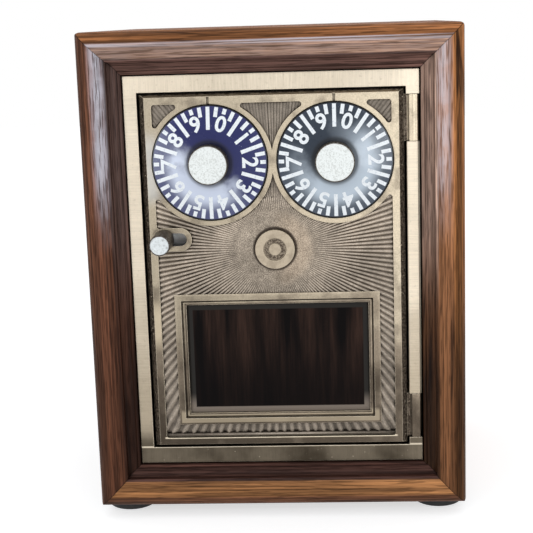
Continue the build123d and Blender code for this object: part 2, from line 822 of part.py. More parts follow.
for side, x in dial_places.items():
    axle = Axis((x, 0, dial_z), (0, 1, 0))

    with BuildPart() as disc:
        with BuildSketch(Plane.YZ.offset(x)):
            with BuildLine():
                Polyline(
                    (brass_y + disc_back, dial_z + spindle_radius + fit / 2),
                    (brass_y + disc_back, dial_z + dial_radius),
                    (brass_y - dial_rim_proud, dial_z + dial_radius),
                    (brass_y + cone_top, dial_z + dial_cone_radius),
                    (brass_y + cone_top, dial_z + spindle_radius + fit / 2),
                    close=True,
                )
            make_face()
        revolve(axis=axle)
    save(disc, f"{side}_dial_disc")

    with BuildPart() as knob:
        with BuildSketch(level(cone_top)):
            with Locations((x, dial_z)):
                Circle(dial_knob_radius)
        extrude(amount=dial_knob_proud + cone_top)
        chamfer(knob.edges().group_by(Axis.Y)[0], dial_knob_edge)
        with BuildSketch(level(cone_top)):
            with Locations((x, dial_z)):
                Circle(spindle_thread_radius + fit / 2)
        extrude(amount=knob_bore, mode=Mode.SUBTRACT)
    save(knob, f"{side}_dial_knob")

    with BuildPart() as spindle:
        with BuildSketch(level(wheel_depth)):
            with Locations((x, dial_z)):
                Circle(spindle_radius)
        extrude(amount=wheel_depth - cone_top)
        with BuildSketch(level(spindle_end)):
            with Locations((x, dial_z)):
                Circle(spindle_thread_radius)
        extrude(amount=spindle_end - cone_top + knob_bore - play)
    save(spindle, f"{side}_spindle")

    with BuildPart() as wheel:
        with BuildSketch(level(wheel_depth + wheel_thickness)):
            with Locations((x, dial_z)):
                Circle(wheel_radius)
            with Locations((x - wheel_radius, dial_z)):
                Rectangle(gate_depth, gate_width, align=(Align.MIN, Align.CENTER), mode=Mode.SUBTRACT)
        extrude(amount=wheel_thickness)
        with BuildSketch(level(nut_depth)):
            with Locations((x, dial_z)):
                Circle(wheel_hub_radius)
        extrude(amount=wheel_hub)
        with BuildSketch(level(nut_depth)):
            with Locations((x, dial_z)):
                Circle(spindle_thread_radius + fit / 2)
        extrude(amount=wheel_hub + wheel_thickness, mode=Mode.SUBTRACT)
    save(wheel, f"{side}_tumbler_wheel")

    with BuildPart() as nut:
        with BuildSketch(level(nut_depth + wheel_nut_height)):
            with Locations((x, dial_z)):
                RegularPolygon(wheel_nut_across / 2, 6, major_radius=False)
                Circle(spindle_thread_radius + fit / 2, mode=Mode.SUBTRACT)
        extrude(amount=wheel_nut_height)
    save(nut, f"{side}_wheel_nut")

    with BuildPart() as washer:
        with BuildSketch(level(bearing_depth + washer_thickness)):
            with Locations((x, dial_z)):
                Circle(washer_radius)
                Circle(spindle_radius + play, mode=Mode.SUBTRACT)
        extrude(amount=washer_thickness)
    save(washer, f"{side}_friction_washer")
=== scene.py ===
"""Looks for a small walnut box with a brass post office box door in its front.

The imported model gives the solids. This script dresses each of them and adds what
is cast or painted on them: the sunburst in the door's sunk field, the beads under
it and round the window, and the marks and numbers of both dials.

Blender's unit is the metre. Sizes in the classes below are in millimetres, in the
model's own frame: +Z up, the front faces -Y, the hinge on the right. A span is where
a soft step begins and where it ends. Heights are above the table, depths are behind
the brass frame's front, and outside means outwards from the frame's outline.
"""

import logging
import math
import random
from dataclasses import dataclass, field
from enum import Enum

import bpy
from mathutils import Matrix, Vector
from mathutils import noise as solid_noise


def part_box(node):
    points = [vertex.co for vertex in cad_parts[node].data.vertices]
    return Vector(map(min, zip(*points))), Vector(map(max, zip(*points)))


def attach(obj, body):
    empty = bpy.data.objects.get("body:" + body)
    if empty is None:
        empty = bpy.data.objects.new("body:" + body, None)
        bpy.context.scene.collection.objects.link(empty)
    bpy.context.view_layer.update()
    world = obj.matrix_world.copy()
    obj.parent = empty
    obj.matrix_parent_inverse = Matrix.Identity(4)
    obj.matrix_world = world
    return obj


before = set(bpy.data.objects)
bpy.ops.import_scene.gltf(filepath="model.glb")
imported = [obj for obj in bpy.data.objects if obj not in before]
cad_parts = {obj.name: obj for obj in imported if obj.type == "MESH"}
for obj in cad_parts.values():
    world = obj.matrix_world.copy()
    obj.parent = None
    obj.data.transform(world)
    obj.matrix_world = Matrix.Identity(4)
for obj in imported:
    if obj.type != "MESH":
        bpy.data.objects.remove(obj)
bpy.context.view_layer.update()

log = logging.getLogger("box_looks")

MM = 0.001

Colour = tuple[float, float, float]
Point = tuple[float, float, float]
Span = tuple[float, float]
Socket = bpy.types.NodeSocket


def edge(node: str, corner: int, axis: int) -> float:
    """One coordinate of a CAD node's box, in millimetres (corner 0 low, 1 high)."""
    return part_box(node)[corner][axis] / MM


BRASS_Y = edge("door_frame", 0, 1)
FRAME_LOW = edge("door_frame", 0, 2)
FRAME_HIGH = edge("door_frame", 1, 2)
FRAME_HALF = edge("door_frame", 1, 0)
CASE_MIDDLE = (FRAME_LOW + FRAME_HIGH) / 2
STUD_Z = (edge("centre_stud", 0, 2) + edge("centre_stud", 1, 2)) / 2


def linear(text: str) -> Colour:
    """Turns a web colour into the linear numbers that shaders take.

    Args:
        text: Six hexadecimal digits after a hash sign.

    Returns:
        The red, green and blue values.
    """
    parts = [int(text[i : i + 2], 16) / 255 for i in (1, 3, 5)]
    return tuple(c / 12.92 if c <= 0.04045 else ((c + 0.055) / 1.055) ** 2.4 for c in parts)


class NodeSheet:
    """A short hand for adding nodes to one shader tree."""

    def __init__(self, tree: bpy.types.NodeTree) -> None:
        """Keeps the tree that the nodes go into."""
        self.tree = tree

    def add(self, kind: str, **settings: object) -> bpy.types.Node:
        """Adds a node.

        Args:
            kind: The node's type name, without its ShaderNode prefix.
            **settings: Attributes to set on it.

        Returns:
            The new node.
        """
        node = self.tree.nodes.new(f"ShaderNode{kind}")
        for name, value in settings.items():
            setattr(node, name, value)
        return node

    def feed(self, socket: Socket, value: object) -> None:
        """Links a socket to another one, or sets its plain value.

        Args:
            socket: The input.
            value: An output socket, a number, a vector or a colour.
        """
        if isinstance(value, Socket):
            self.tree.links.new(value, socket)
        elif socket.type == "RGBA" and len(value) == 3:
            socket.default_value = (*value, 1.0)
        else:
            socket.default_value = value

    def math(self, operation: str, *values: object) -> Socket:
        """Adds a Math node and returns its output."""
        node = self.add("Math", operation=operation)
        for socket, value in zip(node.inputs, values):
            self.feed(socket, value)
        return node.outputs[0]

    def times(self, first: object, *others: object) -> Socket:
        """Multiplies values."""
        for other in others:
            first = self.math("MULTIPLY", first, other)
        return first

    def minus(self, first: object, second: object) -> Socket:
        """Takes one value from another."""
        return self.math("SUBTRACT", first, second)

    def most(self, first: object, second: object) -> Socket:
        """The larger of two values."""
        return self.math("MAXIMUM", first, second)

    def apart(self, first: object, second: object) -> Socket:
        """How far two values are apart."""
        return self.math("ABSOLUTE", self.minus(first, second))

    def span(self, share: object, low: float, high: float) -> Socket:
        """A value that goes from low, where the share is 0, to high, where it is 1."""
        return self.math("MULTIPLY_ADD", share, high - low, low)

    def waver(self, value: object, cloud: Socket, reach: float) -> Socket:
        """Moves a value up and down with a cloud, by half the reach either way."""
        return self.math("MULTIPLY_ADD", cloud, reach, self.minus(value, reach / 2))

    def vector(self, operation: str, first: object, second: object) -> bpy.types.Node:
        """Adds a Vector Math node of two vectors and returns the node."""
        node = self.add("VectorMath", operation=operation)
        self.feed(node.inputs[0], first)
        self.feed(node.inputs[1], second)
        return node

    def step(self, value: object, low: float, high: float) -> Socket:
        """A soft step from 0 at low to 1 at high. Low may be above high.

        Args:
            value: What is compared.
            low: Where the step begins.
            high: Where it ends.

        Returns:
            The step's output.
        """
        node = self.add("MapRange", interpolation_type="SMOOTHSTEP")
        self.feed(node.inputs["Value"], value)
        node.inputs["From Min"].default_value = min(low, high)
        node.inputs["From Max"].default_value = max(low, high)
        node.inputs["To Min"].default_value = float(low > high)
        node.inputs["To Max"].default_value = float(low <= high)
        return node.outputs["Result"]

    def ramp(self, value: object, low: object, high: object, kind: str = "SMOOTHSTEP") -> Socket:
        """A step from 0 at low to 1 at high, where both may be sockets.

        Args:
            value: What is compared.
            low: Where the step begins.
            high: Where it ends.
            kind: The curve between them.

        Returns:
            The step's output.
        """
        node = self.add("MapRange", interpolation_type=kind)
        self.feed(node.inputs["Value"], value)
        self.feed(node.inputs["From Min"], low)
        self.feed(node.inputs["From Max"], high)
        return node.outputs["Result"]

    def between(self, value: object, start: Span, stop: Span) -> Socket:
        """1 between two soft steps, and 0 outside them."""
        return self.times(self.step(value, *start), self.step(value, *stop))

    def mix(self, share: object, first: object, second: object) -> Socket:
        """Mixes two colours.

        Args:
            share: How much of the second colour shows.
            first: A colour or an output socket.
            second: A colour or an output socket.

        Returns:
            The mixed colour's output.
        """
        node = self.add("Mix", data_type="RGBA")
        self.feed(node.inputs[0], share)
        self.feed(node.inputs[6], first)
        self.feed(node.inputs[7], second)
        return node.outputs[2]

    def cover(self, colour: object, other: Colour, share: object, strength: float) -> Socket:
        """Lays another colour over a colour.

        Args:
            colour: What it is laid on.
            other: What is laid on it.
            share: Where it is laid, from 0 to 1.
            strength: How much it hides where the share is 1.

        Returns:
            The new colour's output.
        """
        return self.mix(self.times(share, strength), colour, other)

    def shade(self, colour: object, factor: object) -> Socket:
        """Makes a colour lighter or darker by a factor."""
        node = self.add("VectorMath", operation="SCALE")
        self.feed(node.inputs[0], colour)
        self.feed(node.inputs["Scale"], factor)
        return node.outputs[0]

    def noise(self, place: object, scale: float, detail: float = 3.0, warp: float = 0.0) -> Socket:
        """Adds a noise texture.

        Args:
            place: The coordinates, in millimetres.
            scale: Cells per millimetre.
            detail: Octaves.
            warp: Distortion.

        Returns:
            The noise value, about 0.5 on average.
        """
        node = self.add("TexNoise")
        self.feed(node.inputs["Vector"], place)
        self.feed(node.inputs["Scale"], scale)
        node.inputs["Detail"].default_value = detail
        node.inputs["Distortion"].default_value = warp
        return node.outputs[0]

    def seen(self) -> Socket:
        """1 where the camera, a gloss or a glass sees the background, 0 for soft light."""
        path = self.add("LightPath").outputs
        direct = self.most(path["Is Camera Ray"], path["Is Glossy Ray"])
        return self.most(direct, path["Is Transmission Ray"])

    def use(self, group: bpy.types.NodeTree, **values: object) -> bpy.types.Node:
        """Places a shader group.

        Args:
            group: The group's tree.
            **values: Its inputs, by name.

        Returns:
            The group's node.
        """
        node = self.add("Group", node_tree=group)
        for name, value in values.items():
            self.feed(node.inputs[name], value)
        return node


class ShaderGroups:
    """The effects that more than one finish uses, each built once."""

    corner_samples: int = 4
    openness: Span = (0.35, 0.95)
    bend: Span = (0.004, 0.12)
    chosen_pits: Span = (0.45, 0.6)
    band_stretch: Point = (0.012, 0.32, 0.32)
    streak_stretch: Point = (0.016, 0.34, 0.34)
    streak_cut: Span = (0.57, 0.7)
    pore_stretch: Point = (0.11, 2.6, 2.6)
    pore_cut: Span = (0.5, 0.62)
    fibre_stretch: Point = (0.014, 1.45, 1.45)

    def __init__(self) -> None:
        """Builds every group."""
        self.edges = self._edges()
        self.streaks = self._streaks()
        self.blotches = self._blotches()
        self.pits = self._pits()
        self.grain = self._grain()

    @staticmethod
    def _open(name: str, inputs: dict[str, object], outputs: dict[str, str]) -> tuple:
        """Starts a group.

        Args:
            name: The group's name.
            inputs: Each input's starting value; a tuple makes a vector socket.
            outputs: Each output's kind, Float or Vector.

        Returns:
            The tree, its node sheet, the input node's sockets and the output node's.
        """
        tree = bpy.data.node_groups.new(name, "ShaderNodeTree")
        for label, value in inputs.items():
            kind = "NodeSocketVector" if isinstance(value, tuple) else "NodeSocketFloat"
            socket = tree.interface.new_socket(label, in_out="INPUT", socket_type=kind)
            socket.default_value = value
        for label, kind in outputs.items():
            tree.interface.new_socket(label, in_out="OUTPUT", socket_type=f"NodeSocket{kind}")
        sheet = NodeSheet(tree)
        start = tree.nodes.new("NodeGroupInput")
        end = tree.nodes.new("NodeGroupOutput")
        return tree, sheet, start.outputs, end.inputs

    def _edges(self) -> bpy.types.NodeTree:
        """Rounded edges: bright where they are worn and where a painted highlight stands for the
        light they catch, and painted shade in the recesses beside them.
        """
        inputs = {"Radius": 0.0003, "Reach": 0.0009}
        outputs = {"Wear_and_highlight": "Float", "Recess_shade": "Float", "Normal": "Vector"}
        tree, sheet, given, out = self._open("edge_wear_and_shade", inputs, outputs)
        bevel = sheet.add("Bevel", samples=self.corner_samples)
        sheet.feed(bevel.inputs["Radius"], given["Radius"])
        plain = sheet.add("NewGeometry").outputs["Normal"]
        turn = sheet.vector("DOT_PRODUCT", bevel.outputs[0], plain).outputs["Value"]
        hollow = sheet.add("AmbientOcclusion", samples=self.corner_samples)
        sheet.feed(hollow.inputs["Distance"], given["Reach"])
        openness = sheet.step(hollow.outputs["AO"], *self.openness)
        bent = sheet.step(sheet.minus(1.0, turn), *self.bend)
        # Worn edges, bright also as a painted highlight.
        sheet.feed(out["Wear_and_highlight"], sheet.times(bent, openness))
        # Painted shade where ambient occlusion finds another surface near.
        sheet.feed(out["Recess_shade"], sheet.minus(1.0, openness))
        sheet.feed(out["Normal"], bevel.outputs[0])
        return tree

    def _streaks(self) -> bpy.types.NodeTree:
        """Fine brushed lines: noise that is stretched by its Stretch vector."""
        inputs = {"Place": (0.0, 0.0, 0.0), "Stretch": (1.0, 1.0, 1.0), "Low": 0.35, "High": 0.65}
        tree, sheet, given, out = self._open("brushed_lines", inputs, {"Line": "Float"})
        drawn = sheet.vector("MULTIPLY", given["Place"], given["Stretch"]).outputs[0]
        noise = sheet.noise(drawn, 1.0, 4.0)
        sheet.feed(out["Line"], sheet.ramp(noise, given["Low"], given["High"], "LINEAR"))
        return tree

    def _blotches(self) -> bpy.types.NodeTree:
        """Soft patches of patina."""
        inputs = {"Place": (0.0, 0.0, 0.0), "Scale": 0.1, "Low": 0.45, "High": 0.65}
        tree, sheet, given, out = self._open("patina_blotches", inputs, {"Patch": "Float"})
        noise = sheet.noise(given["Place"], given["Scale"], 5.0)
        sheet.feed(out["Patch"], sheet.ramp(noise, given["Low"], given["High"]))
        return tree

    def _pits(self) -> bpy.types.NodeTree:
        """Small round pits or specks, with a height for bumps."""
        inputs = {"Place": (0.0, 0.0, 0.0), "Scale": 1.5, "Size": 0.3}
        tree, sheet, given, out = self._open("pits", inputs, {"Pit": "Float", "Height": "Float"})
        cells = sheet.add("TexVoronoi")
        sheet.feed(cells.inputs["Vector"], given["Place"])
        sheet.feed(cells.inputs["Scale"], given["Scale"])
        height = sheet.ramp(cells.outputs["Distance"], 0.0, given["Size"])
        sheet.feed(out["Height"], height)
        chosen = sheet.step(cells.outputs["Color"], *self.chosen_pits)
        sheet.feed(out["Pit"], sheet.times(sheet.minus(1.0, height), chosen))
        return tree

    def _grain(self) -> bpy.types.NodeTree:
        """Walnut figure along the place's X: broad bands, dark streaks and fine pores."""
        inputs = {"Place": (0.0, 0.0, 0.0)}
        outputs = {"Band": "Float", "Streak": "Float", "Pore": "Float", "Fibre": "Float"}
        tree, sheet, given, out = self._open("walnut_grain", inputs, outputs)

        def drawn(stretch: Point, detail: float, warp: float = 0.0) -> Socket:
            """Noise in the stretched place."""
            place = sheet.vector("MULTIPLY", given["Place"], stretch).outputs[0]
            return sheet.noise(place, 1.0, detail, warp)

        sheet.feed(out["Band"], drawn(self.band_stretch, 5.0, 0.5))
        streak = drawn(self.streak_stretch, 4.0, 0.9)
        sheet.feed(out["Streak"], sheet.step(streak, *self.streak_cut))
        sheet.feed(out["Pore"], sheet.step(drawn(self.pore_stretch, 2.0), *self.pore_cut))
        sheet.feed(out["Fibre"], drawn(self.fibre_stretch, 4.0))
        return tree


groups = ShaderGroups()


class Grain(Enum):
    """Which way a board's grain runs."""

    ACROSS = "across"
    UPRIGHT = "upright"


class Surface:
    """A new material with its Principled BSDF, and the places that masks start from."""

    def __init__(self, name: str) -> None:
        """Makes the material.

        Args:
            name: Its name.
        """
        self.material = bpy.data.materials.new(name)
        self.material.use_nodes = True
        self.sheet = NodeSheet(self.material.node_tree)
        self.shader = self.material.node_tree.nodes["Principled BSDF"]
        place = self.sheet.add("TexCoord").outputs["Object"]
        self.place = self.sheet.shade(place, 1 / MM)
        parts = self.sheet.add("SeparateXYZ")
        self.sheet.feed(parts.inputs[0], self.place)
        self.x, self.y, self.z = parts.outputs

    def depth(self) -> Socket:
        """How far behind the brass frame's front face, in millimetres."""
        return self.sheet.minus(self.y, BRASS_Y)

    def along(self, grain: Grain) -> Socket:
        """The place, turned so that the grain runs along its X."""
        order = (self.x, self.y, self.z) if grain is Grain.ACROSS else (self.z, self.y, self.x)
        turned = self.sheet.add("CombineXYZ")
        for socket, value in zip(turned.inputs, order):
            self.sheet.feed(socket, value)
        return turned.outputs[0]

    def around(self, x: float, z: float) -> tuple[Socket, Socket]:
        """The way and the distance from an axis that runs front to back.

        Args:
            x: The axis's place sideways.
            z: Its height.

        Returns:
            The vector from the axis, and its length.
        """
        local = self.sheet.vector("SUBTRACT", self.place, (x, 0.0, z)).outputs[0]
        flat = self.sheet.vector("MULTIPLY", local, (1.0, 0.0, 1.0)).outputs[0]
        length = self.sheet.add("VectorMath", operation="LENGTH")
        self.sheet.feed(length.inputs[0], flat)
        return flat, length.outputs["Value"]

    def patches(self, scale: float, low: float = 0.45, high: float = 0.65) -> Socket:
        """Soft patches: cells per millimetre, and the noise values that become 0 and 1."""
        given = {"Place": self.place, "Scale": scale, "Low": low, "High": high}
        return self.sheet.use(groups.blotches, **given).outputs[0]

    def lines(self, stretch: Point, low: float = 0.35, high: float = 0.65) -> Socket:
        """Brushed lines: cells per millimetre each way, and the values that become 0 and 1."""
        given = {"Place": self.place, "Stretch": stretch, "Low": low, "High": high}
        return self.sheet.use(groups.streaks, **given).outputs[0]

    def pits(self, scale: float, size: float) -> dict[str, Socket]:
        """Pits or specks: their mask, Pit, and their Height."""
        return self.sheet.use(groups.pits, Place=self.place, Scale=scale, Size=size).outputs

    def edges(self, radius: float, reach: float) -> dict[str, Socket]:
        """Edges: how worn and bright they are, which also stands for a painted highlight, painted
        shade in their recesses, and a rounded Normal.

        Args:
            radius: How far the edges are rounded.
            reach: How near another surface has to be to make a recess.

        Returns:
            The three outputs, by name.
        """
        return self.sheet.use(groups.edges, Radius=radius * MM, Reach=reach * MM).outputs

    def feed(self, **values: object) -> None:
        """Sets inputs of the Principled BSDF, with _ for a space in their names."""
        for name, value in values.items():
            self.sheet.feed(self.shader.inputs[name.replace("_", " ")], value)

    def bump(self, height: object, distance: float, normal: Socket | None = None) -> None:
        """Feeds the shader's normal from a height.

        Args:
            height: The height, from 0 to 1.
            distance: What a height of 1 stands for, in millimetres.
            normal: A normal to start from.
        """
        node = self.sheet.add("Bump")
        node.inputs["Distance"].default_value = distance * MM
        self.sheet.feed(node.inputs["Height"], height)
        if normal is not None:
            self.sheet.feed(node.inputs["Normal"], normal)
        self.feed(Normal=node.outputs[0])


class Finish:
    """What every finish shares: a name, and a material that its paint method fills."""

    name: str

    def make(self) -> bpy.types.Material:
        """Builds the material."""
        look = Surface(self.name)
        self.paint(look)
        return look.material

    def paint(self, look: Surface) -> None:
        """Adds the finish's nodes to its surface."""
        raise NotImplementedError


@dataclass(frozen=True)
class WalnutFinish(Finish):
    """Oiled walnut whose moulding has a brown of its own on its lip, face and rim, with light and
    shade painted into these browns board by board, and a painted sheen and highlight.
    """

    name: str
    grain: Grain
    offset: Point
    rim: Colour
    face: Colour
    lip: Colour
    lip_low: Colour
    foot_tones: Point = (1.0, 1.0, 1.0)
    streaks: float = 0.7
    polish: float = 0.5
    # How much painted sheen, a pale bluish colour for reflected light, lies on the polished face.
    bloom: float = 0.5
    # How strong the crest's painted highlight and the painted shade line outside it are.
    ridge: float = 0.0
    # The painted sheen's colour.
    haze: Colour = linear("#cdc9d3")
    black: Colour = linear("#170c08")
    inside: Colour = linear("#80563c")
    pores: float = 0.48
    # How strong the painted shade in recesses is.
    dirt: float = 0.6
    lip_end: Span = (4.9, 5.5)
    face_end: Span = (9.2, 10.4)
    lip_fade: Span = (58.0, 98.0)
    # Where the painted shade at the foot fades out, by height and by depth.
    foot_fade: Span = (34.0, 104.0)
    side_fade: Span = (8.0, 34.0)
    inside_end: Span = (1.4, 0.9)
    inside_depth: Span = (6.0, 8.0)
    moulding_depth: Span = (40.0, 30.0)
    # Where the polish lies, and the painted sheen with it.
    polish_height: Span = (84.0, 118.0)
    polish_start: Span = (4.4, 5.8)
    polish_stop: Span = (10.2, 7.6)
    # The crest's painted highlight, and the painted shade line just outside it.
    crest: tuple[Span, Span] = ((8.4, 9.3), (10.3, 9.9))
    seam: tuple[Span, Span] = ((9.8, 10.2), (11.2, 10.4))
    mitre: Span = (0.2, 0.06)

    def paint(self, look: Surface) -> None:
        """Paints the zones of the moulding, then the wood's figure, painted shade in recesses, dark
        mitres, the polish with a painted sheen on it, and a painted highlight along the crest with
        a painted shade line outside it.
        """
        sheet = look.sheet
        place = sheet.vector("ADD", look.along(self.grain), self.offset).outputs[0]
        wood = sheet.use(groups.grain, Place=place).outputs
        across = sheet.minus(sheet.math("ABSOLUTE", look.x), FRAME_HALF)
        up = sheet.minus(sheet.apart(look.z, CASE_MIDDLE), (FRAME_HIGH - FRAME_LOW) / 2)
        out = sheet.most(across, up)
        colour = self._figured(look, out, wood)
        worn = look.edges(0.35, 1.6)
        # Painted shade in the recesses.
        colour = sheet.cover(colour, self.black, worn["Recess_shade"], self.dirt)
        mitre = sheet.step(sheet.apart(across, up), *self.mitre)
        colour = sheet.cover(colour, self.black, mitre, 0.8)
        moulding = sheet.step(look.depth(), *self.moulding_depth)
        polish_and_sheen = sheet.times(moulding, self._polished(look, out, wood))
        # Painted sheen: a pale bluish colour laid where the polish is, for the light it reflects.
        colour = sheet.cover(colour, self.haze, polish_and_sheen, self.bloom)
        # Painted highlight along the crest, and a painted shade line just outside it.
        crest = sheet.times(sheet.between(out, *self.crest), sheet.step(wood["Fibre"], 0.36, 0.62))
        colour = sheet.cover(colour, self.haze, sheet.times(crest, moulding), self.ridge)
        seam = sheet.times(sheet.between(out, *self.seam), sheet.step(wood["Band"], 0.46, 0.56))
        colour = sheet.cover(colour, self.black, seam, self.ridge)
        look.feed(Base_Color=colour, Specular_IOR_Level=0.06, Coat_Roughness=0.2)
        look.feed(Coat_Weight=sheet.math("MULTIPLY_ADD", polish_and_sheen, self.polish, 0.05))
        rough = sheet.span(wood["Fibre"], 0.42, 0.54)
        look.feed(Roughness=sheet.math("MULTIPLY_ADD", wood["Pore"], 0.25, rough))
        height = sheet.math("MULTIPLY_ADD", wood["Pore"], -0.8, wood["Fibre"])
        look.bump(height, 0.06, worn["Normal"])

    def _figured(self, look: Surface, out: Socket, wood: dict[str, Socket]) -> Socket:
        """The zones' colours, with painted shade that darkens them towards the foot, and the wood's
        figure.

        Args:
            look: The surface.
            out: How far outside the frame a point is.
            wood: The figure's masks.

        Returns:
            The colour's output.
        """
        sheet = look.sheet
        on_face, on_rim = sheet.step(out, *self.lip_end), sheet.step(out, *self.face_end)
        # Where a board's upper lip colour differs from its lower one, the difference is a painted
        # sheen.
        lip = sheet.mix(sheet.step(look.z, *self.lip_fade), self.lip_low, self.lip)
        colour = sheet.mix(on_rim, sheet.mix(on_face, lip, self.face), self.rim)
        depth = look.depth()
        inner = sheet.step(out, *self.inside_end)
        inner = sheet.times(inner, sheet.step(depth, *self.inside_depth))
        colour = sheet.mix(inner, colour, self.inside)
        # Painted shade: the lip, face and rim go darker towards the foot, near the front.
        on_lip_tone, on_face_tone, on_rim_tone = self.foot_tones
        foot = sheet.span(on_face, on_lip_tone, on_face_tone)
        foot = sheet.math("MULTIPLY_ADD", on_rim, on_rim_tone - on_face_tone, foot)
        shade_fade = sheet.most(sheet.step(look.z, *self.foot_fade), sheet.step(depth, *self.side_fade))
        tone = sheet.math("MULTIPLY_ADD", shade_fade, sheet.minus(1.0, foot), foot)
        band = sheet.span(sheet.step(wood["Band"], 0.36, 0.66), 0.7, 1.3)
        fibre = sheet.span(sheet.step(wood["Fibre"], 0.33, 0.67), 0.58, 1.42)
        colour = sheet.shade(colour, sheet.times(tone, band, fibre))
        colour = sheet.cover(colour, self.black, wood["Streak"], self.streaks)
        return sheet.cover(colour, self.black, wood["Pore"], self.pores)

    def _polished(self, look: Surface, out: Socket, wood: dict[str, Socket]) -> Socket:
        """Where the polish lies, and the painted sheen with it: most on the upper part of the
        sloping face.
        """
        sheet = look.sheet
        slope = sheet.between(out, self.polish_start, self.polish_stop)
        upper = sheet.step(look.z, *self.polish_height)
        patch = sheet.span(look.patches(0.16, 0.3, 0.6), 0.55, 1.0)
        return sheet.times(slope, upper, patch, sheet.span(wood["Pore"], 1.0, 0.25))


@dataclass(frozen=True)
class BackWoodFinish(Finish):
    """Plain dark wood of the back panel."""

    name: str = "back_wood"
    light: Colour = linear("#4a3226")
    dark: Colour = linear("#1a0f0b")

    def paint(self, look: Surface) -> None:
        """Paints upright bands and pores."""
        sheet = look.sheet
        wood = sheet.use(groups.grain, Place=look.along(Grain.UPRIGHT)).outputs
        colour = sheet.mix(sheet.step(wood["Band"], 0.35, 0.65), self.dark, self.light)
        colour = sheet.cover(colour, self.dark, wood["Pore"], 0.7)
        look.feed(Base_Color=colour, Roughness=sheet.span(wood["Fibre"], 0.5, 0.7))
        look.bump(wood["Fibre"], 0.06)


@dataclass(frozen=True)
class FrameBrassFinish(Finish):
    """Brushed brass, pale above, with painted shade that turns it darker and olive towards the
    bottom.
    """

    name: str = "frame_brass"
    pale: Colour = linear("#d6c8b3")
    middle: Colour = linear("#aea08b")
    olive: Colour = linear("#3f372d")
    bright: Colour = linear("#efe0c8")
    grime: Colour = linear("#15100c")
    rail_start: Span = (55.6, 56.2)
    middle_height: Span = (80.0, 40.0)
    olive_height: Span = (30.0, 22.5)
    # Where the painted shade on the left ends, at the right stile.
    right_stile: Span = (34.0, 42.0)
    lit_edge: float = edge("door_plate", 0, 2) - 0.5
    lit_width: Span = (0.4, 0.15)
    lit_end: Span = (56.6, 56.0)
    nick_height: Span = (25.0, 22.0)
    dirt_depth: Span = (0.25, 0.9)

    def paint(self, look: Surface) -> None:
        """Lays painted shade downwards and to the left, then the brush lines, worn edges that also
        stand for highlights, a painted highlight line, nicks, and painted shade in recesses and
        behind the front face.
        """
        sheet = look.sheet
        level = sheet.apart(look.z, CASE_MIDDLE)
        rail = sheet.step(level, *self.rail_start)
        on_rail = sheet.times(rail, look.lines((7.0, 1.0, 0.12)))
        on_stile = sheet.times(sheet.minus(1.0, rail), look.lines((0.12, 1.0, 7.0)))
        line = sheet.math("ADD", on_rail, on_stile)
        cloud = look.patches(0.06, 0.35, 0.7)
        # Painted shade: pale above, going darker and olive lower down.
        shade_fade = sheet.step(sheet.waver(look.z, cloud, 12.0), *self.middle_height)
        colour = sheet.mix(shade_fade, self.pale, self.middle)
        low = sheet.step(sheet.waver(look.z, cloud, 4.0), *self.olive_height)
        colour = sheet.mix(low, colour, self.olive)
        colour = sheet.cover(colour, self.middle, sheet.minus(1.0, cloud), 0.3)
        colour = sheet.shade(colour, sheet.span(line, 0.88, 1.1))
        # Painted shade: darker everywhere left of the right stile.
        colour = sheet.shade(colour, sheet.span(sheet.step(look.x, *self.right_stile), 0.84, 1.0))
        colour = sheet.cover(colour, self.olive, look.patches(0.9, 0.55, 0.8), 0.25)
        worn = look.edges(0.35, 1.2)
        colour = sheet.cover(colour, self.bright, worn["Wear_and_highlight"], 0.85)
        lit = sheet.step(sheet.apart(look.z, self.lit_edge), *self.lit_width)
        lit = sheet.times(lit, sheet.step(level, *self.lit_end), 0.6)
        nick = sheet.times(look.pits(0.75, 0.13)["Pit"], sheet.step(look.z, *self.nick_height))
        colour = sheet.mix(sheet.most(lit, nick), colour, self.bright)
        # Painted shade behind the front face and in recesses.
        dirt = sheet.most(sheet.step(look.depth(), *self.dirt_depth), worn["Recess_shade"])
        colour = sheet.cover(colour, self.grime, dirt, 0.9)
        look.feed(Base_Color=colour, Metallic=1.0, Roughness=sheet.span(line, 0.36, 0.5))
        look.bump(line, 0.01, worn["Normal"])


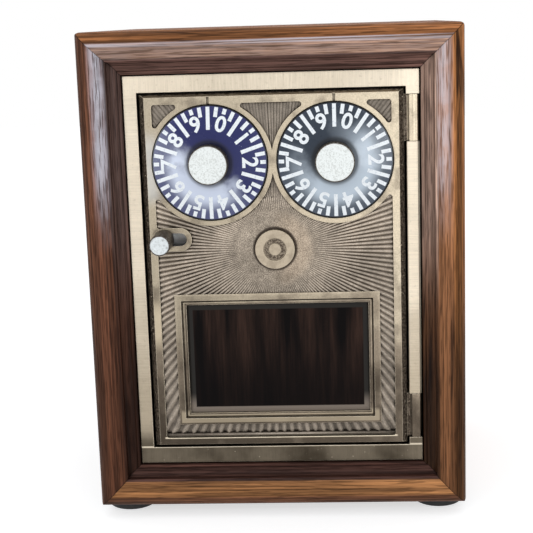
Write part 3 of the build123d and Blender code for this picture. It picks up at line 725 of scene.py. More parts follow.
@dataclass(frozen=True)
class DoorBrassFinish(Finish):
    """Cast brass: polished on the raised borders and dark and grainy in what lies lower, with a
    painted shadow colour there; painted shade darkens it downwards, to the left and in recesses,
    and painted highlights lie on it.
    """

    name: str = "door_brass"
    pale: Colour = linear("#c4b59d")
    tan: Colour = linear("#8d7f6e")
    olive: Colour = linear("#574d42")
    dull: Colour = linear("#75695b")
    bronze: Colour = linear("#7a6d5f")
    shadow: Colour = linear("#3a3029")
    dark: Colour = linear("#1a130f")
    grey: Colour = linear("#8f8d8c")
    silver: Colour = linear("#b4b1ab")
    # The painted highlights' colour.
    glow: Colour = linear("#c0b096")
    bright: Colour = linear("#eadbc2")
    tan_height: Span = (82.0, 50.0)
    olive_height: Span = (52.0, 30.0)
    breadth: Span = (-42.0, 38.0)
    glow_middle: float = 62.0
    glow_reach: Span = (10.0, 3.0)
    glow_side: Span = (-36.0, -36.6)
    under_window: Span = (34.6, 33.0)
    silver_height: tuple[Span, Span] = ((98.0, 104.0), (124.0, 117.0))
    silver_side: Span = (-33.0, -37.0)
    sunk_depth: Span = (0.35, 0.95)
    bevel: tuple[Span, Span] = ((38.2, 38.5), (40.6, 40.2))
    knuckle: Span = (40.6, 40.9)
    lit_edge: float = FRAME_LOW + 8.1
    lit_width: Span = (0.4, 0.15)
    lit_end: Span = (37.0, 36.4)
    window_half: float = 31.0
    window_low: float = FRAME_LOW + 13.2
    window_high: float = FRAME_LOW + 53.8
    window_soft: float = 0.3
    slot: Span = (-34.0, -29.0)
    slot_z: float = FRAME_LOW + 72.0
    slot_radius: float = 2.35
    slot_depth: Span = (-0.4, -0.1)

    def paint(self, look: Surface) -> None:
        """Paints the raised face, what is sunk, the bevelled sides, worn edges that also stand for
        highlights, a painted highlight line, painted shade in recesses, and the slot.
        """
        sheet = look.sheet
        window = self._by_window(look)
        face = self._face(look, window)
        grit = look.patches(1.5, 0.38, 0.66)
        low = sheet.mix(grit, self.shadow, self.bronze)
        side = sheet.mix(sheet.span(grit, 0.2, 0.8), self.dark, self.bronze)
        sunk = sheet.step(look.depth(), *self.sunk_depth)
        sunk = sheet.times(sunk, sheet.span(window, 1.0, 0.55))
        across = sheet.math("ABSOLUTE", look.x)
        bevel = sheet.between(across, *self.bevel)
        front = sheet.mix(sheet.step(look.x, *self.knuckle), sheet.mix(sunk, face, low), face)
        colour = sheet.mix(bevel, front, side)
        fleck = sheet.times(look.pits(0.8, 0.2)["Pit"], sheet.most(bevel, 0.1))
        colour = sheet.mix(fleck, colour, self.bright)
        worn = look.edges(0.3, 0.9)
        colour = sheet.cover(colour, self.bright, worn["Wear_and_highlight"], 0.8)
        lit = sheet.step(sheet.apart(look.z, self.lit_edge), *self.lit_width)
        lit = sheet.times(lit, sheet.step(across, *self.lit_end))
        colour = sheet.cover(colour, self.bright, lit, 0.7)
        # Painted shade in recesses.
        colour = sheet.cover(colour, self.dark, worn["Recess_shade"], 0.75)
        colour = sheet.mix(self._in_slot(look), colour, self.grey)
        rough = sheet.most(sunk, bevel)
        look.feed(Base_Color=colour, Metallic=1.0, Roughness=sheet.span(rough, 0.38, 0.58))
        look.bump(sheet.times(grit, sheet.most(rough, 0.06)), 0.1, worn["Normal"])

    def _face(self, look: Surface, window: Socket) -> Socket:
        """The polished borders: painted shade that darkens them downwards and to the left, stains,
        and two painted highlights.

        Args:
            look: The surface.
            window: 1 inside the window's frame.

        Returns:
            The colour's output.
        """
        sheet = look.sheet
        # Painted shade: pale above, tan and then olive lower down.
        height = sheet.waver(look.z, look.patches(0.075, 0.35, 0.68), 22.0)
        face = sheet.mix(sheet.step(height, *self.tan_height), self.pale, self.tan)
        face = sheet.mix(sheet.step(height, *self.olive_height), face, self.olive)
        face = sheet.cover(face, self.dull, look.patches(0.17, 0.5, 0.68), 0.55)
        # Painted shade: darker towards the left. The window's frame is also darker, and the sand is
        # a random grain.
        left_shade = sheet.span(sheet.step(look.x, *self.breadth), 0.62, 0.96)
        sand = sheet.span(look.patches(2.3, 0.3, 0.7), 0.87, 1.13)
        face = sheet.shade(face, sheet.times(left_shade, sheet.span(window, 1.0, 0.86), sand))
        # Painted highlights: a patch on the left border, and a band along the foot of the window's
        # frame.
        glow = sheet.step(sheet.apart(look.z, self.glow_middle), *self.glow_reach)
        glow = sheet.times(glow, sheet.step(look.x, *self.glow_side), 0.7)
        window_foot_highlight = sheet.times(sheet.step(look.z, *self.under_window), window, 0.45)
        face = sheet.mix(sheet.most(glow, window_foot_highlight), face, self.glow)
        silver = sheet.between(look.z, *self.silver_height)
        silver = sheet.times(silver, sheet.step(look.x, *self.silver_side))
        return sheet.cover(face, self.silver, silver, 0.7)

    def _by_window(self, look: Surface) -> Socket:
        """1 inside the window's frame, whose step is smooth."""
        sheet = look.sheet
        soft, half = self.window_soft, self.window_half
        aside = sheet.step(sheet.math("ABSOLUTE", look.x), half + soft, half)
        below = (self.window_low - soft, self.window_low)
        above = (self.window_high + soft, self.window_high)
        return sheet.times(aside, sheet.between(look.z, above, below))

    def _in_slot(self, look: Surface) -> Socket:
        """The bare grey walls of the latch's slot."""
        sheet = look.sheet
        nearest = sheet.add("Clamp")
        for socket, value in zip(nearest.inputs, (look.x, *self.slot)):
            sheet.feed(socket, value)
        aside = sheet.minus(look.x, nearest.outputs[0])
        above = sheet.minus(look.z, self.slot_z)
        squares = sheet.math("ADD", sheet.times(aside, aside), sheet.times(above, above))
        near = sheet.step(squares, self.slot_radius**2 + 0.3, self.slot_radius**2)
        return sheet.times(near, sheet.step(look.depth(), *self.slot_depth))


@dataclass(frozen=True)
class ReliefFinish(Finish):
    """The sunburst's cast bronze, lighter on its ridges and dark between them, where patina lies
    and shade is painted in.
    """

    name: str = "sunburst_bronze"
    ridge: Colour = linear("#b9ab9b")
    valley: Colour = linear("#261e19")
    sheen: Colour = linear("#776b5e")
    bright: Colour = linear("#b8aa99")
    halo: Colour = linear("#d0b79c")
    ridge_depth: Span = (1.02, 0.62)
    plain_radius: Span = (18.0, 10.0)
    halo_radius: Span = (13.5, 9.0)
    halo_side: Span = (-3.0, 5.0)
    foot_fade: Span = (26.0, 96.0)
    pocket_height: Span = (FRAME_LOW + 84.0, FRAME_LOW + 90.0)
    stud: float = edge("centre_stud", 1, 0)
    stud_dirt: Span = (1.2, 0.5)

    def paint(self, look: Surface) -> None:
        """Paints the rays, the smooth middle with its halo, painted shade towards the bottom and in
        recesses, and painted shadow round the stud's foot.
        """
        sheet = look.sheet
        grit = look.patches(3.4, 0.22, 0.8)
        raised = sheet.step(look.depth(), *self.ridge_depth)
        # Dark in the valleys: patina with painted shade.
        colour = sheet.mix(raised, self.valley, self.ridge)
        away = sheet.vector("DISTANCE", look.place, (0.0, BRASS_Y, STUD_Z)).outputs["Value"]
        smooth = sheet.mix(grit, self.sheen, self.bright)
        halo = sheet.times(sheet.step(away, *self.halo_radius), sheet.step(look.x, *self.halo_side))
        smooth = sheet.cover(smooth, self.halo, halo, 0.3)
        colour = sheet.mix(sheet.step(away, *self.plain_radius), colour, smooth)
        # Painted shade: darker towards the bottom. It is also darker in the pockets between the
        # dials.
        shade_fade = sheet.span(sheet.step(look.z, *self.foot_fade), 0.65, 1.0)
        pocket = sheet.span(sheet.step(look.z, *self.pocket_height), 1.0, 0.55)
        tone = sheet.span(look.patches(0.07, 0.35, 0.7), 0.64, 0.98)
        tone = sheet.math("MULTIPLY_ADD", look.patches(0.45, 0.3, 0.7), 0.22, tone)
        colour = sheet.shade(colour, sheet.times(shade_fade, pocket, tone, sheet.span(grit, 0.7, 1.2)))
        # Painted shadow in a ring round the stud's foot.
        dirt = sheet.step(away, *(self.stud + reach for reach in self.stud_dirt))
        colour = sheet.cover(colour, self.valley, dirt, 0.85)
        # Painted shade in recesses.
        colour = sheet.cover(colour, self.valley, look.edges(0.1, 1.0)["Recess_shade"], 0.6)
        look.feed(Base_Color=colour, Metallic=0.9, Specular_IOR_Level=0.2)
        look.feed(Roughness=sheet.span(grit, 0.56, 0.44))
        look.bump(grit, 0.03)


@dataclass(frozen=True)
class StudFinish(Finish):
    """A turned stud with painted shade in the ring groove round its centre."""

    name: str = "stud_brass"
    tan: Colour = linear("#ab9d89")
    stain: Colour = linear("#7d7061")
    groove: Colour = linear("#4a4037")
    bright: Colour = linear("#d9cab0")
    ring: tuple[Span, Span] = ((1.75, 2.05), (3.45, 3.15))

    def paint(self, look: Surface) -> None:
        """Paints the stained face, painted shade in the groove and in recesses, and the worn rim,
        bright also as a highlight.
        """
        sheet = look.sheet
        grit = look.patches(2.2, 0.4, 0.66)
        colour = sheet.cover(self.tan, self.stain, look.patches(0.45, 0.4, 0.7), 0.5)
        # Painted shade in the ring groove.
        hollow = sheet.cover(self.groove, self.tan, grit, 0.6)
        colour = sheet.mix(sheet.between(look.around(0.0, STUD_Z)[1], *self.ring), colour, hollow)
        worn = look.edges(0.25, 0.8)
        colour = sheet.cover(colour, self.bright, worn["Wear_and_highlight"], 0.7)
        colour = sheet.cover(colour, self.groove, worn["Recess_shade"], 0.7)
        look.feed(Base_Color=colour, Metallic=1.0, Roughness=sheet.span(grit, 0.42, 0.54))
        look.bump(grit, 0.02, worn["Normal"])


@dataclass(frozen=True)
class MetalFinish(Finish):
    """A plain metal with fine lines, stains, worn edges that also stand for highlights, and painted
    shade in recesses.
    """

    name: str
    base: Colour
    stain: Colour
    bright: Colour
    roughness: float = 0.35
    stretch: Point = (3.0, 3.0, 0.4)
    patches: float = 0.35
    metallic: float = 0.95

    def paint(self, look: Surface) -> None:
        """Paints the stains, the lines and the edges."""
        sheet = look.sheet
        line = look.lines(self.stretch)
        colour = sheet.cover(self.base, self.stain, look.patches(0.5), self.patches)
        colour = sheet.cover(colour, self.stain, line, 0.2)
        worn = look.edges(0.2, 0.8)
        colour = sheet.cover(colour, self.bright, worn["Wear_and_highlight"], 0.8)
        # Painted shade in recesses, in the stain's colour.
        colour = sheet.cover(colour, self.stain, worn["Recess_shade"], 0.6)
        look.feed(Base_Color=colour, Metallic=self.metallic)
        look.feed(Roughness=sheet.math("MULTIPLY_ADD", line, 0.15, self.roughness))
        look.bump(line, 0.015, worn["Normal"])


@dataclass(frozen=True)
class KnobFinish(Finish):
    """A knob whose flat front is bare nickel, worn through, on a dark brass body."""

    name: str
    face_depth: float
    cap: Colour = linear("#cfd1ce")
    speck: Colour = linear("#84837a")
    rim: Colour = linear("#4a3c32")
    scale: float = 2.4
    face_edge: Span = (0.18, 0.04)

    def paint(self, look: Surface) -> None:
        """Paints the speckled front, the dark body and painted shade in recesses."""
        sheet = look.sheet
        pits = look.pits(self.scale, 0.42)
        fine = look.patches(2.2, 0.48, 0.62)
        marks = sheet.most(pits["Pit"], sheet.times(fine, 0.4))
        cap = sheet.cover(self.cap, self.speck, marks, 0.7)
        front = sheet.step(look.depth(), *(self.face_depth + reach for reach in self.face_edge))
        colour = sheet.mix(front, sheet.mix(fine, self.rim, self.speck), cap)
        worn = look.edges(0.2, 1.2)
        # Painted shade in recesses.
        colour = sheet.cover(colour, self.rim, worn["Recess_shade"], 0.7)
        look.feed(Base_Color=colour, Metallic=0.9, Roughness=sheet.span(marks, 0.42, 0.62))
        look.bump(pits["Height"], 0.05, worn["Normal"])


@dataclass(frozen=True)
class EnamelFinish(Finish):
    """A dial's glossy enamel, with a pale painted reflection on one side and a painted shadow round
    its knob.

    The painted reflection lies towards lean, in degrees clockwise from straight up. The further
    below 0 its reach is, the further round the dial it goes.
    """

    name: str
    node: str
    deep: Colour
    cloud: Colour
    lean: float
    reach: float
    edge: Colour
    black: Colour = linear("#07070c")
    cloud_end: Span = (15.4, 10.6)
    rim_start: Span = (14.0, 17.0)
    knob_shadow: Span = (7.9, 6.5)
    outline: Span = (17.1, 17.35)

    def paint(self, look: Surface) -> None:
        """Paints the reflection, the rim, the painted shadow round the knob and specks."""
        sheet = look.sheet
        low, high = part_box(self.node)
        centre = (low + high) / 2 / MM
        flat, radius = look.around(centre.x, centre.z)
        turn = math.radians(self.lean)
        aim = (math.sin(turn), 0.0, math.cos(turn))
        towards = sheet.vector("DOT_PRODUCT", flat, aim).outputs["Value"]
        facing = sheet.math("DIVIDE", towards, radius)
        mist = look.patches(0.13, 0.35, 0.65)
        share = sheet.step(sheet.waver(facing, mist, 0.5), self.reach, 0.75)
        share = sheet.times(share, sheet.span(sheet.step(radius, *self.cloud_end), 0.14, 1.0))
        # Painted reflection: a pale colour laid on one side of the dial.
        colour = sheet.mix(share, self.deep, self.cloud)
        colour = sheet.cover(colour, self.edge, sheet.step(radius, *self.rim_start), 0.35)
        colour = sheet.cover(colour, self.black, sheet.step(radius, *self.knob_shadow), 0.7)
        colour = sheet.cover(colour, self.cloud, look.pits(1.1, 0.12)["Pit"], 0.7)
        colour = sheet.mix(sheet.step(radius, *self.outline), colour, self.black)
        look.feed(Base_Color=colour, Specular_IOR_Level=0.15, Coat_Weight=0.35, Coat_Roughness=0.1)
        look.feed(Roughness=sheet.span(mist, 0.26, 0.4))
        look.bump(mist, 0.02)


@dataclass(frozen=True)
class PaintFinish(Finish):
    """White paint in the dials' marks, slightly worn and dirty."""

    name: str = "white_paint"
    white: Colour = linear("#f3f5f6")
    worn: Colour = linear("#b9c0cf")

    def paint(self, look: Surface) -> None:
        """Paints the worn patches."""
        sheet = look.sheet
        patch = look.patches(1.4, 0.52, 0.72)
        look.feed(Base_Color=sheet.cover(self.white, self.worn, patch, 0.55))
        look.feed(Roughness=sheet.span(patch, 0.35, 0.55))
        look.bump(patch, 0.01)


@dataclass(frozen=True)
class MatteFinish(Finish):
    """Rubber or fibre: dull, with a fine grain and dust."""

    name: str
    base: Colour
    dust: Colour
    roughness: float = 0.7

    def paint(self, look: Surface) -> None:
        """Paints the dust and the grain."""
        sheet = look.sheet
        grain = sheet.noise(look.place, 3.0, 4.0)
        look.feed(Base_Color=sheet.cover(self.base, self.dust, look.patches(0.8, 0.5, 0.75), 0.4))
        look.feed(Roughness=sheet.span(grain, self.roughness - 0.1, self.roughness + 0.1))
        look.bump(grain, 0.06)


@dataclass(frozen=True)
class GlassFinish(Finish):
    """Glass as an opaque dark sheet: its near-black is painted shade for the box's dark inside,
    with brown upright streaks painted for the back panel's grain seen dimly through it, a ground
    edge lighter at its foot with a painted highlight, and dust.
    """

    name: str = "window_pane"
    clear: Colour = linear("#0c0808")
    smear: Colour = linear("#382720")
    dust: Colour = linear("#f2eee6")
    ground: Colour = linear("#2b2825")
    ground_foot: Colour = linear("#85786c")
    half: float = edge("window_glass", 1, 0)
    low: float = edge("window_glass", 0, 2)
    high: float = edge("window_glass", 1, 2)
    ground_width: Span = (3.35, 3.05)
    foot_above: Span = (8.0, 3.0)
    smear_above: float = 6.0
    smear_below: float = 10.0

    def paint(self, look: Surface) -> None:
        """Paints the inside's shade and grain, the ground edge with its painted highlight, and the
        dust.
        """
        sheet = look.sheet
        # Painted view of the inside: brown upright streaks, stronger higher up, for the back
        # panel's grain.
        hang = look.lines((0.16, 1.0, 0.012), 0.4, 0.62)
        fine = look.lines((1.6, 1.0, 0.09))
        upper = sheet.step(look.z, self.low + self.smear_above, self.high - self.smear_below)
        smear = sheet.times(hang, sheet.span(upper, 0.2, 1.0), sheet.span(fine, 0.5, 1.2))
        aside = sheet.minus(self.half, sheet.math("ABSOLUTE", look.x))
        level = sheet.apart(look.z, (self.low + self.high) / 2)
        inside = sheet.minus((self.high - self.low) / 2, level)
        rim = sheet.step(sheet.math("MINIMUM", aside, inside), *self.ground_width)
        foot = sheet.step(look.z, *(self.low + above for above in self.foot_above))
        # The near-black colour is painted shade for the box's dark inside.
        colour = sheet.mix(smear, self.clear, self.smear)
        # The ground edge is lighter at its foot: a painted highlight.
        colour = sheet.mix(rim, colour, sheet.mix(foot, self.ground, self.ground_foot))
        speck = look.pits(0.14, 0.045)["Pit"]
        look.feed(Base_Color=sheet.mix(speck, colour, self.dust), Specular_IOR_Level=0.02)
        look.feed(Roughness=sheet.span(rim, 0.05, 0.25), Coat_Roughness=0.03)
        look.feed(Coat_Weight=sheet.span(rim, 0.05, 0.15))


def dress(material: bpy.types.Material, *nodes: str) -> None:
    """Gives CAD nodes a finish in their material slots.

    Args:
        material: The finish.
        *nodes: The nodes' names.
    """
    for node in nodes:
        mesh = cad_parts[node].data
        mesh.materials.clear()
        mesh.materials.append(material)
        log.info("dressed %s in %s", node, material.name)


def new_piece(
    name: str,
    points: list[Point],
    faces: list[tuple[int, ...]],
    body: str,
    material: bpy.types.Material,
    smooth: bool = False,
) -> bpy.types.Object:
    """Makes a mesh piece that rides on a CAD body.

    Args:
        name: The piece's name.
        points: Its vertices, in millimetres.
        faces: Its faces.
        body: The body that it rides on.
        material: Its finish.
        smooth: Whether its faces are shaded smoothly.

    Returns:
        The new object.
    """
    mesh = bpy.data.meshes.new(name)
    mesh.from_pydata([tuple(c * MM for c in point) for point in points], [], faces)
    mesh.validate()
    mesh.polygons.foreach_set("use_smooth", [smooth] * len(mesh.polygons))
    mesh.materials.append(material)
    piece = bpy.data.objects.new(name, mesh)
    bpy.context.scene.collection.objects.link(piece)
    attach(piece, body)
    log.info("built %s with %d faces on %s", name, len(faces), body)
    return piece


def between_rings(first: int, second: int, sides: int) -> list[tuple[int, ...]]:
    """The faces between two rings of points.

    Args:
        first: The first ring's first point.
        second: The second ring's first point.
        sides: How many points each ring has.

    Returns:
        A face for each side.
    """
    faces = []
    for i in range(sides):
        j = (i + 1) % sides
        faces.append((first + i, second + i, second + j, first + j))
    return faces


@dataclass
class Case:
    """The walnut case, its back panel, feet and screws."""

    # Painted light: each board has its own copy of the walnut, its rim lighter on the top and right
    # and darker on the left and bottom as the light falls, and the top's face and the right's upper
    # lip carry a painted sheen.
    boards: dict[str, WalnutFinish] = field(
        default_factory=lambda: {
            "top_board": WalnutFinish(
                name="walnut_top",
                grain=Grain.ACROSS,
                offset=(31.0, 5.0, 9.0),
                rim=linear("#9b643d"),
                face=linear("#b0876f"),
                lip=linear("#735349"),
                lip_low=linear("#735349"),
                streaks=0.5,
                bloom=0.08,
                ridge=0.75,
            ),
            "bottom_board": WalnutFinish(
                name="walnut_bottom",
                grain=Grain.ACROSS,
                offset=(140.0, 3.0, 41.0),
                rim=linear("#704a35"),
                face=linear("#ab7549"),
                lip=linear("#4e332b"),
                lip_low=linear("#4e332b"),
                streaks=0.6,
            ),
            "left_board": WalnutFinish(
                name="walnut_left",
                grain=Grain.UPRIGHT,
                offset=(7.0, 11.0, 3.0),
                rim=linear("#5f3c2b"),
                face=linear("#704632"),
                lip=linear("#56413a"),
                lip_low=linear("#553527"),
                foot_tones=(0.4, 0.6, 0.72),
                streaks=0.5,
                bloom=0.7,
            ),
            "right_board": WalnutFinish(
                name="walnut_right",
                grain=Grain.UPRIGHT,
                offset=(77.0, 2.0, 17.0),
                rim=linear("#a86d3f"),
                face=linear("#9f6a46"),
                lip=linear("#b2917f"),
                lip_low=linear("#8f5f40"),
                foot_tones=(0.16, 0.58, 0.25),
                streaks=0.9,
                bloom=0.55,
            ),
        }
    )
    back: BackWoodFinish = BackWoodFinish()
    rubber: MatteFinish = MatteFinish("black_rubber", linear("#0d0c0c"), linear("#3a3632"), 0.62)
    steel: MetalFinish = MetalFinish(
        "screw_steel", base=linear("#8f8c86"), stain=linear("#4d4842"), bright=linear("#d4d2cc")
    )
    steel_nodes: tuple[str, ...] = (
        "back_panel_screws",
        "foot_screws",
        "frame_screws",
        "retainer_screws",
        "lock_case_screws",
        "bolt_guide_screws",
        "bolt_spring",
        "hinge_pin",
        "stud_nut",
    )

    def dress(self) -> None:
        """Gives every piece of the case, and all steel, its finish."""
        for node, finish in self.boards.items():
            dress(finish.make(), node)
        dress(self.back.make(), "back_panel")
        dress(self.rubber.make(), "feet")
        dress(self.steel.make(), *self.steel_nodes)


@dataclass
class Sunburst:
    """The cast rays in the door's sunk field, and the beads under it and in the window.

    The rays run from the stud's centre at even angles. They leave out the dials'
    rings, the window's frame and the slot's rim. The profile gives, for each line of
    points along a ray, its share of the ray's width, its height there, and its height
    in the pockets between the dials.
    """

    rays: int = 150
    profile: tuple[Point, ...] = (
        (0.0, 0.0, 0.1),
        (0.24, 0.15, 0.75),
        (0.4, 0.8, 0.4),
        (0.52, 1.0, 0.05),
        (0.68, 0.7, 0.8),
        (0.86, 0.15, 0.35),
    )
    pocket_wear: Span = (0.4, 1.0)
    field_half: float = 36.15
    field_low: float = FRAME_LOW + 9.5
    field_high: float = FRAME_LOW + 113.2
    floor: float = 1.15
    rise: float = 0.62
    smooth_to: float = 11.0
    full_at: float = 19.0
    middle_rise: float = 0.05
    grit_scale: float = 2.6
    grit_rise: float = 0.03
    inner: float = 5.2
    row: float = 0.8
    narrow_at: float = 44.0
    pocket_z: float = FRAME_LOW + 84.0
    pocket_rise: float = 0.36
    ring: float = 19.0
    dial_x: float = 19.0
    dial_z: float = FRAME_LOW + 95.3
    window_half: float = 30.9
    window_low: float = FRAME_LOW + 13.4
    window_high: float = FRAME_LOW + 53.6
    slot: Span = (-34.0, -29.0)
    slot_z: float = FRAME_LOW + 72.0
    slot_rim: float = 3.0
    margin: float = 0.5
    thickness: float = 0.3
    bead_z: float = FRAME_LOW + 9.0
    bead_radius: float = 0.5
    bead_proud: float = 0.45
    bead_sides: int = 12
    window_bead_half_width: float = 29.05
    window_bead_half_height: float = 18.25
    window_bead_z: float = FRAME_LOW + 33.5
    window_bead_depth: float = 0.85
    window_bead_radius: float = 0.42
    window_bead_sides: int = 10

    def is_open(self, x: float, z: float) -> bool:
        """Whether a point lies in the part of the field that the rays cover."""
        if abs(x) > self.field_half + self.margin:
            return False
        if not self.field_low < z < self.field_high + self.margin:
            return False
        if math.hypot(abs(x) - self.dial_x, z - self.dial_z) < self.ring:
            return False
        if abs(x) < self.window_half and self.window_low < z < self.window_high:
            return False
        left, right = self.slot
        nearest = min(max(x, left), right)
        return math.hypot(x - nearest, z - self.slot_z) > self.slot_rim

    def build(self, material: bpy.types.Material) -> None:
        """Builds the rays and the bead under them.

        Args:
            material: Their finish.
        """
        columns = self._columns()
        far = math.hypot(self.field_half, self.field_high - self.field_low)
        rows = [self.inner + i * self.row for i in range(int((far - self.inner) / self.row))]
        points = [self._point(radius, *column) for radius in rows for column in columns]
        faces = self._faces(points, len(rows), len(columns))
        used = sorted({c for face in faces for c in face})
        renumber = {old: new for new, old in enumerate(used)}
        faces = [tuple(renumber[c] for c in face) for face in faces]
        points = [points[c] for c in used]
        relief = new_piece("sunburst_relief", points, faces, "door", material, True)
        shell = relief.modifiers.new("back", "SOLIDIFY")
        shell.thickness = self.thickness * MM
        shell.offset = -1.0
        self._field_bead(material)

    def _columns(self) -> list[Point]:
        """Each line of points: its angle, its height, and its height in the pockets."""
        gap = 2 * math.pi / self.rays
        columns = []
        for i in range(self.rays):
            for share, high, low in self.profile:
                columns.append(((i + share) * gap, high, low * random.uniform(*self.pocket_wear)))
        return columns

    def _point(self, radius: float, angle: float, high: float, low: float) -> Point:
        """One point of the rays.

        Args:
            radius: How far from the stud's centre.
            angle: Its direction, clockwise from straight up, in radians.
            high: Its share of the full height.
            low: Its share of the height in the pockets.

        Returns:
            The point, in millimetres.
        """
        x, z = radius * math.sin(angle), STUD_Z + radius * math.cos(angle)
        share = min(max((radius - self.smooth_to) / (self.full_at - self.smooth_to), 0.0), 1.0)
        spot = Vector((x * self.grit_scale, z * self.grit_scale, 0.0))
        lift = solid_noise.noise(spot) * self.grit_rise
        if z > self.pocket_z:
            lift += self.pocket_rise * low
        elif radius > self.narrow_at and z < self.window_low:
            lift += self.rise * high**3
        else:
            lift += self.rise * share * high + self.middle_rise * (1 - share)
        return (x, BRASS_Y + self.floor - lift, z)

    def _faces(self, points: list[Point], rows: int, columns: int) -> list[tuple[int, ...]]:
        """The faces whose middle lies in the open field.

        Args:
            points: The points, row by row.
            rows: How many rows there are.
            columns: How many points a row has.

        Returns:
            The faces.
        """
        faces = []
        for i in range(rows - 1):
            for j in range(columns):
                corners = (i * columns + j, i * columns + (j + 1) % columns)
                corners += (corners[1] + columns, corners[0] + columns)
                x = sum(points[c][0] for c in corners) / len(corners)
                z = sum(points[c][2] for c in corners) / len(corners)
                if self.is_open(x, z):
                    faces.append(corners[::-1])
        return faces

    def _field_bead(self, material: bpy.types.Material) -> None:
        """The plain half-round bar along the field's lower edge."""
        reach = self.field_half + self.margin
        sides, radius = self.bead_sides, self.bead_radius
        points: list[Point] = []
        for x in (-reach, reach):
            for i in range(sides):
                turn = 2 * math.pi * i / sides
                y = BRASS_Y + self.floor - self.bead_proud + radius * math.sin(turn)
                points.append((x, y, self.bead_z + radius * math.cos(turn)))
        faces = between_rings(sides, 0, sides)
        faces += [tuple(range(sides))[::-1], tuple(range(sides, 2 * sides))]
        new_piece("field_bead", points, faces, "door", material, True)

    def build_window_bead(self, material: bpy.types.Material) -> None:
        """Builds the half-round bead that runs round the window in its frame's step.

        Args:
            material: Its finish.
        """
        sides, radius = self.window_bead_sides, self.window_bead_radius
        points: list[Point] = []
        for right, upper in ((1, 1), (-1, 1), (-1, -1), (1, -1)):
            for i in range(sides):
                turn = 2 * math.pi * i / sides
                out = radius * math.cos(turn)
                x = right * (self.window_bead_half_width + out)
                y = BRASS_Y + self.window_bead_depth + radius * math.sin(turn)
                z = self.window_bead_z + upper * (self.window_bead_half_height + out)
                points.append((x, y, z))
        faces = []
        for first in range(0, len(points), sides):
            faces += between_rings(first, (first + sides) % len(points), sides)
        new_piece("window_bead", points, faces, "door", material, True)


@dataclass
class DialFace:
    """The painted marks and numbers on one dial's coned disc."""

    side: str
    rim_radius: float = 17.5
    cone_radius: float = 7.0
    rim_proud: float = 0.3
    cone_rise: float = 1.7
    lift: float = 0.05
    sectors: int = 10
    mark_width: float = 1.15
    mark_end: float = 17.05
    mark_starts: tuple[float, ...] = (10.2, 14.1, 15.4, 14.1)
    number_radius: float = 12.4
    number_height: float = 4.6
    font_height: float = 0.7
    number_weight: float = 0.17
    number_curve: int = 4

    def __post_init__(self) -> None:
        """Finds the dial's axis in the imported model."""
        low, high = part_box(f"{self.side}_dial_disc")
        self.x = (low.x + high.x) / 2 / MM
        self.z = (low.z + high.z) / 2 / MM

    def on_cone(self, out: float, along: float, turn: float, lift: float) -> Point:
        """A point on the disc.

        Args:
            out: Distance from the axis along the mark's middle line.
            along: Distance to the right of that line.
            turn: The line's direction, clockwise from straight up, in radians.
            lift: How far in front of the enamel.

        Returns:
            The point, in millimetres.
        """
        radius = math.hypot(out, along)
        share = (self.rim_radius - radius) / (self.rim_radius - self.cone_radius)
        depth = -self.rim_proud - self.cone_rise * share
        x = self.x + out * math.sin(turn) + along * math.cos(turn)
        z = self.z + out * math.cos(turn) - along * math.sin(turn)
        return (x, BRASS_Y + depth - lift, z)

    def marks(self, material: bpy.types.Material) -> None:
        """Builds the forty strokes round the rim.

        Args:
            material: Their paint.
        """
        points: list[Point] = []
        faces: list[tuple[int, ...]] = []
        half, end = self.mark_width / 2, self.mark_end
        count = self.sectors * len(self.mark_starts)
        for i in range(count):
            turn = 2 * math.pi * i / count
            start = self.mark_starts[i % len(self.mark_starts)]
            corners = ((start, -half), (start, half), (end, half), (end, -half))
            first = len(points)
            for lift in (-self.lift, self.lift):
                points += [self.on_cone(out, along, turn, lift) for out, along in corners]
            front = first + len(corners)
            faces += [tuple(range(first, front)), tuple(range(front, front + len(corners)))[::-1]]
            faces += between_rings(first, front, len(corners))
        self._paint("marks", points, faces, material)

    def numbers(self, material: bpy.types.Material) -> None:
        """Builds the numbers 0 to 9, each upright when it is at the top.

        Args:
            material: Their paint.
        """
        points: list[Point] = []
        faces: list[tuple[int, ...]] = []
        for number in range(self.sectors):
            shape = self._outline(number)
            turn = 2 * math.pi * (number + 0.5) / self.sectors
            across = [v.co.x for v in shape.vertices]
            upwards = [v.co.y for v in shape.vertices]
            middle = ((min(across) + max(across)) / 2, (min(upwards) + max(upwards)) / 2)
            first = len(points)
            for v in shape.vertices:
                out = self.number_radius + v.co.y - middle[1]
                points.append(self.on_cone(out, v.co.x - middle[0], turn, v.co.z))
            faces += [tuple(first + c for c in p.vertices) for p in shape.polygons]
            bpy.data.meshes.remove(shape)
        self._paint("numbers", points, faces, material)

    def _outline(self, number: int) -> bpy.types.Mesh:
        """The flat mesh of one number, which the caller removes."""
        curve = bpy.data.curves.new(f"number_{number}", "FONT")
        curve.body = str(number)
        curve.size = self.number_height / self.font_height
        curve.offset = self.number_weight
        curve.extrude = self.lift
        curve.resolution_u = self.number_curve
        holder = bpy.data.objects.new(curve.name, curve)
        bpy.context.scene.collection.objects.link(holder)
        bpy.context.view_layer.update()
        shape = bpy.data.meshes.new_from_object(holder)
        bpy.data.objects.remove(holder)
        bpy.data.curves.remove(curve)
        return shape

    def _paint(
        self,
        what: str,
        points: list[Point],
        faces: list[tuple[int, ...]],
        material: bpy.types.Material,
    ) -> None:
        """Puts marks or numbers on the dial as one piece.

        Args:
            what: What they are.
            points: Their points, in millimetres.
            faces: Their faces.
            material: Their paint.
        """
        body, slot = f"{self.side}_dial", f"{self.side}_enamel"
        new_piece(f"{self.side}_dial_{what}", points, faces, body, material)


def enamel(side: str, lean: float, reach: float, *hues: str) -> EnamelFinish:
    """One dial's enamel.

    Args:
        side: The dial's side.
        lean: Where the painted reflection lies.
        reach: How far round it goes.
        *hues: Its deep colour, its painted reflection's colour and its edge, as web colours.

    Returns:
        The finish.
    """
    deep, cloud, rim = (linear(hue) for hue in hues)
    return EnamelFinish(f"{side}_enamel", f"{side}_dial_disc", deep, cloud, lean, reach, rim)


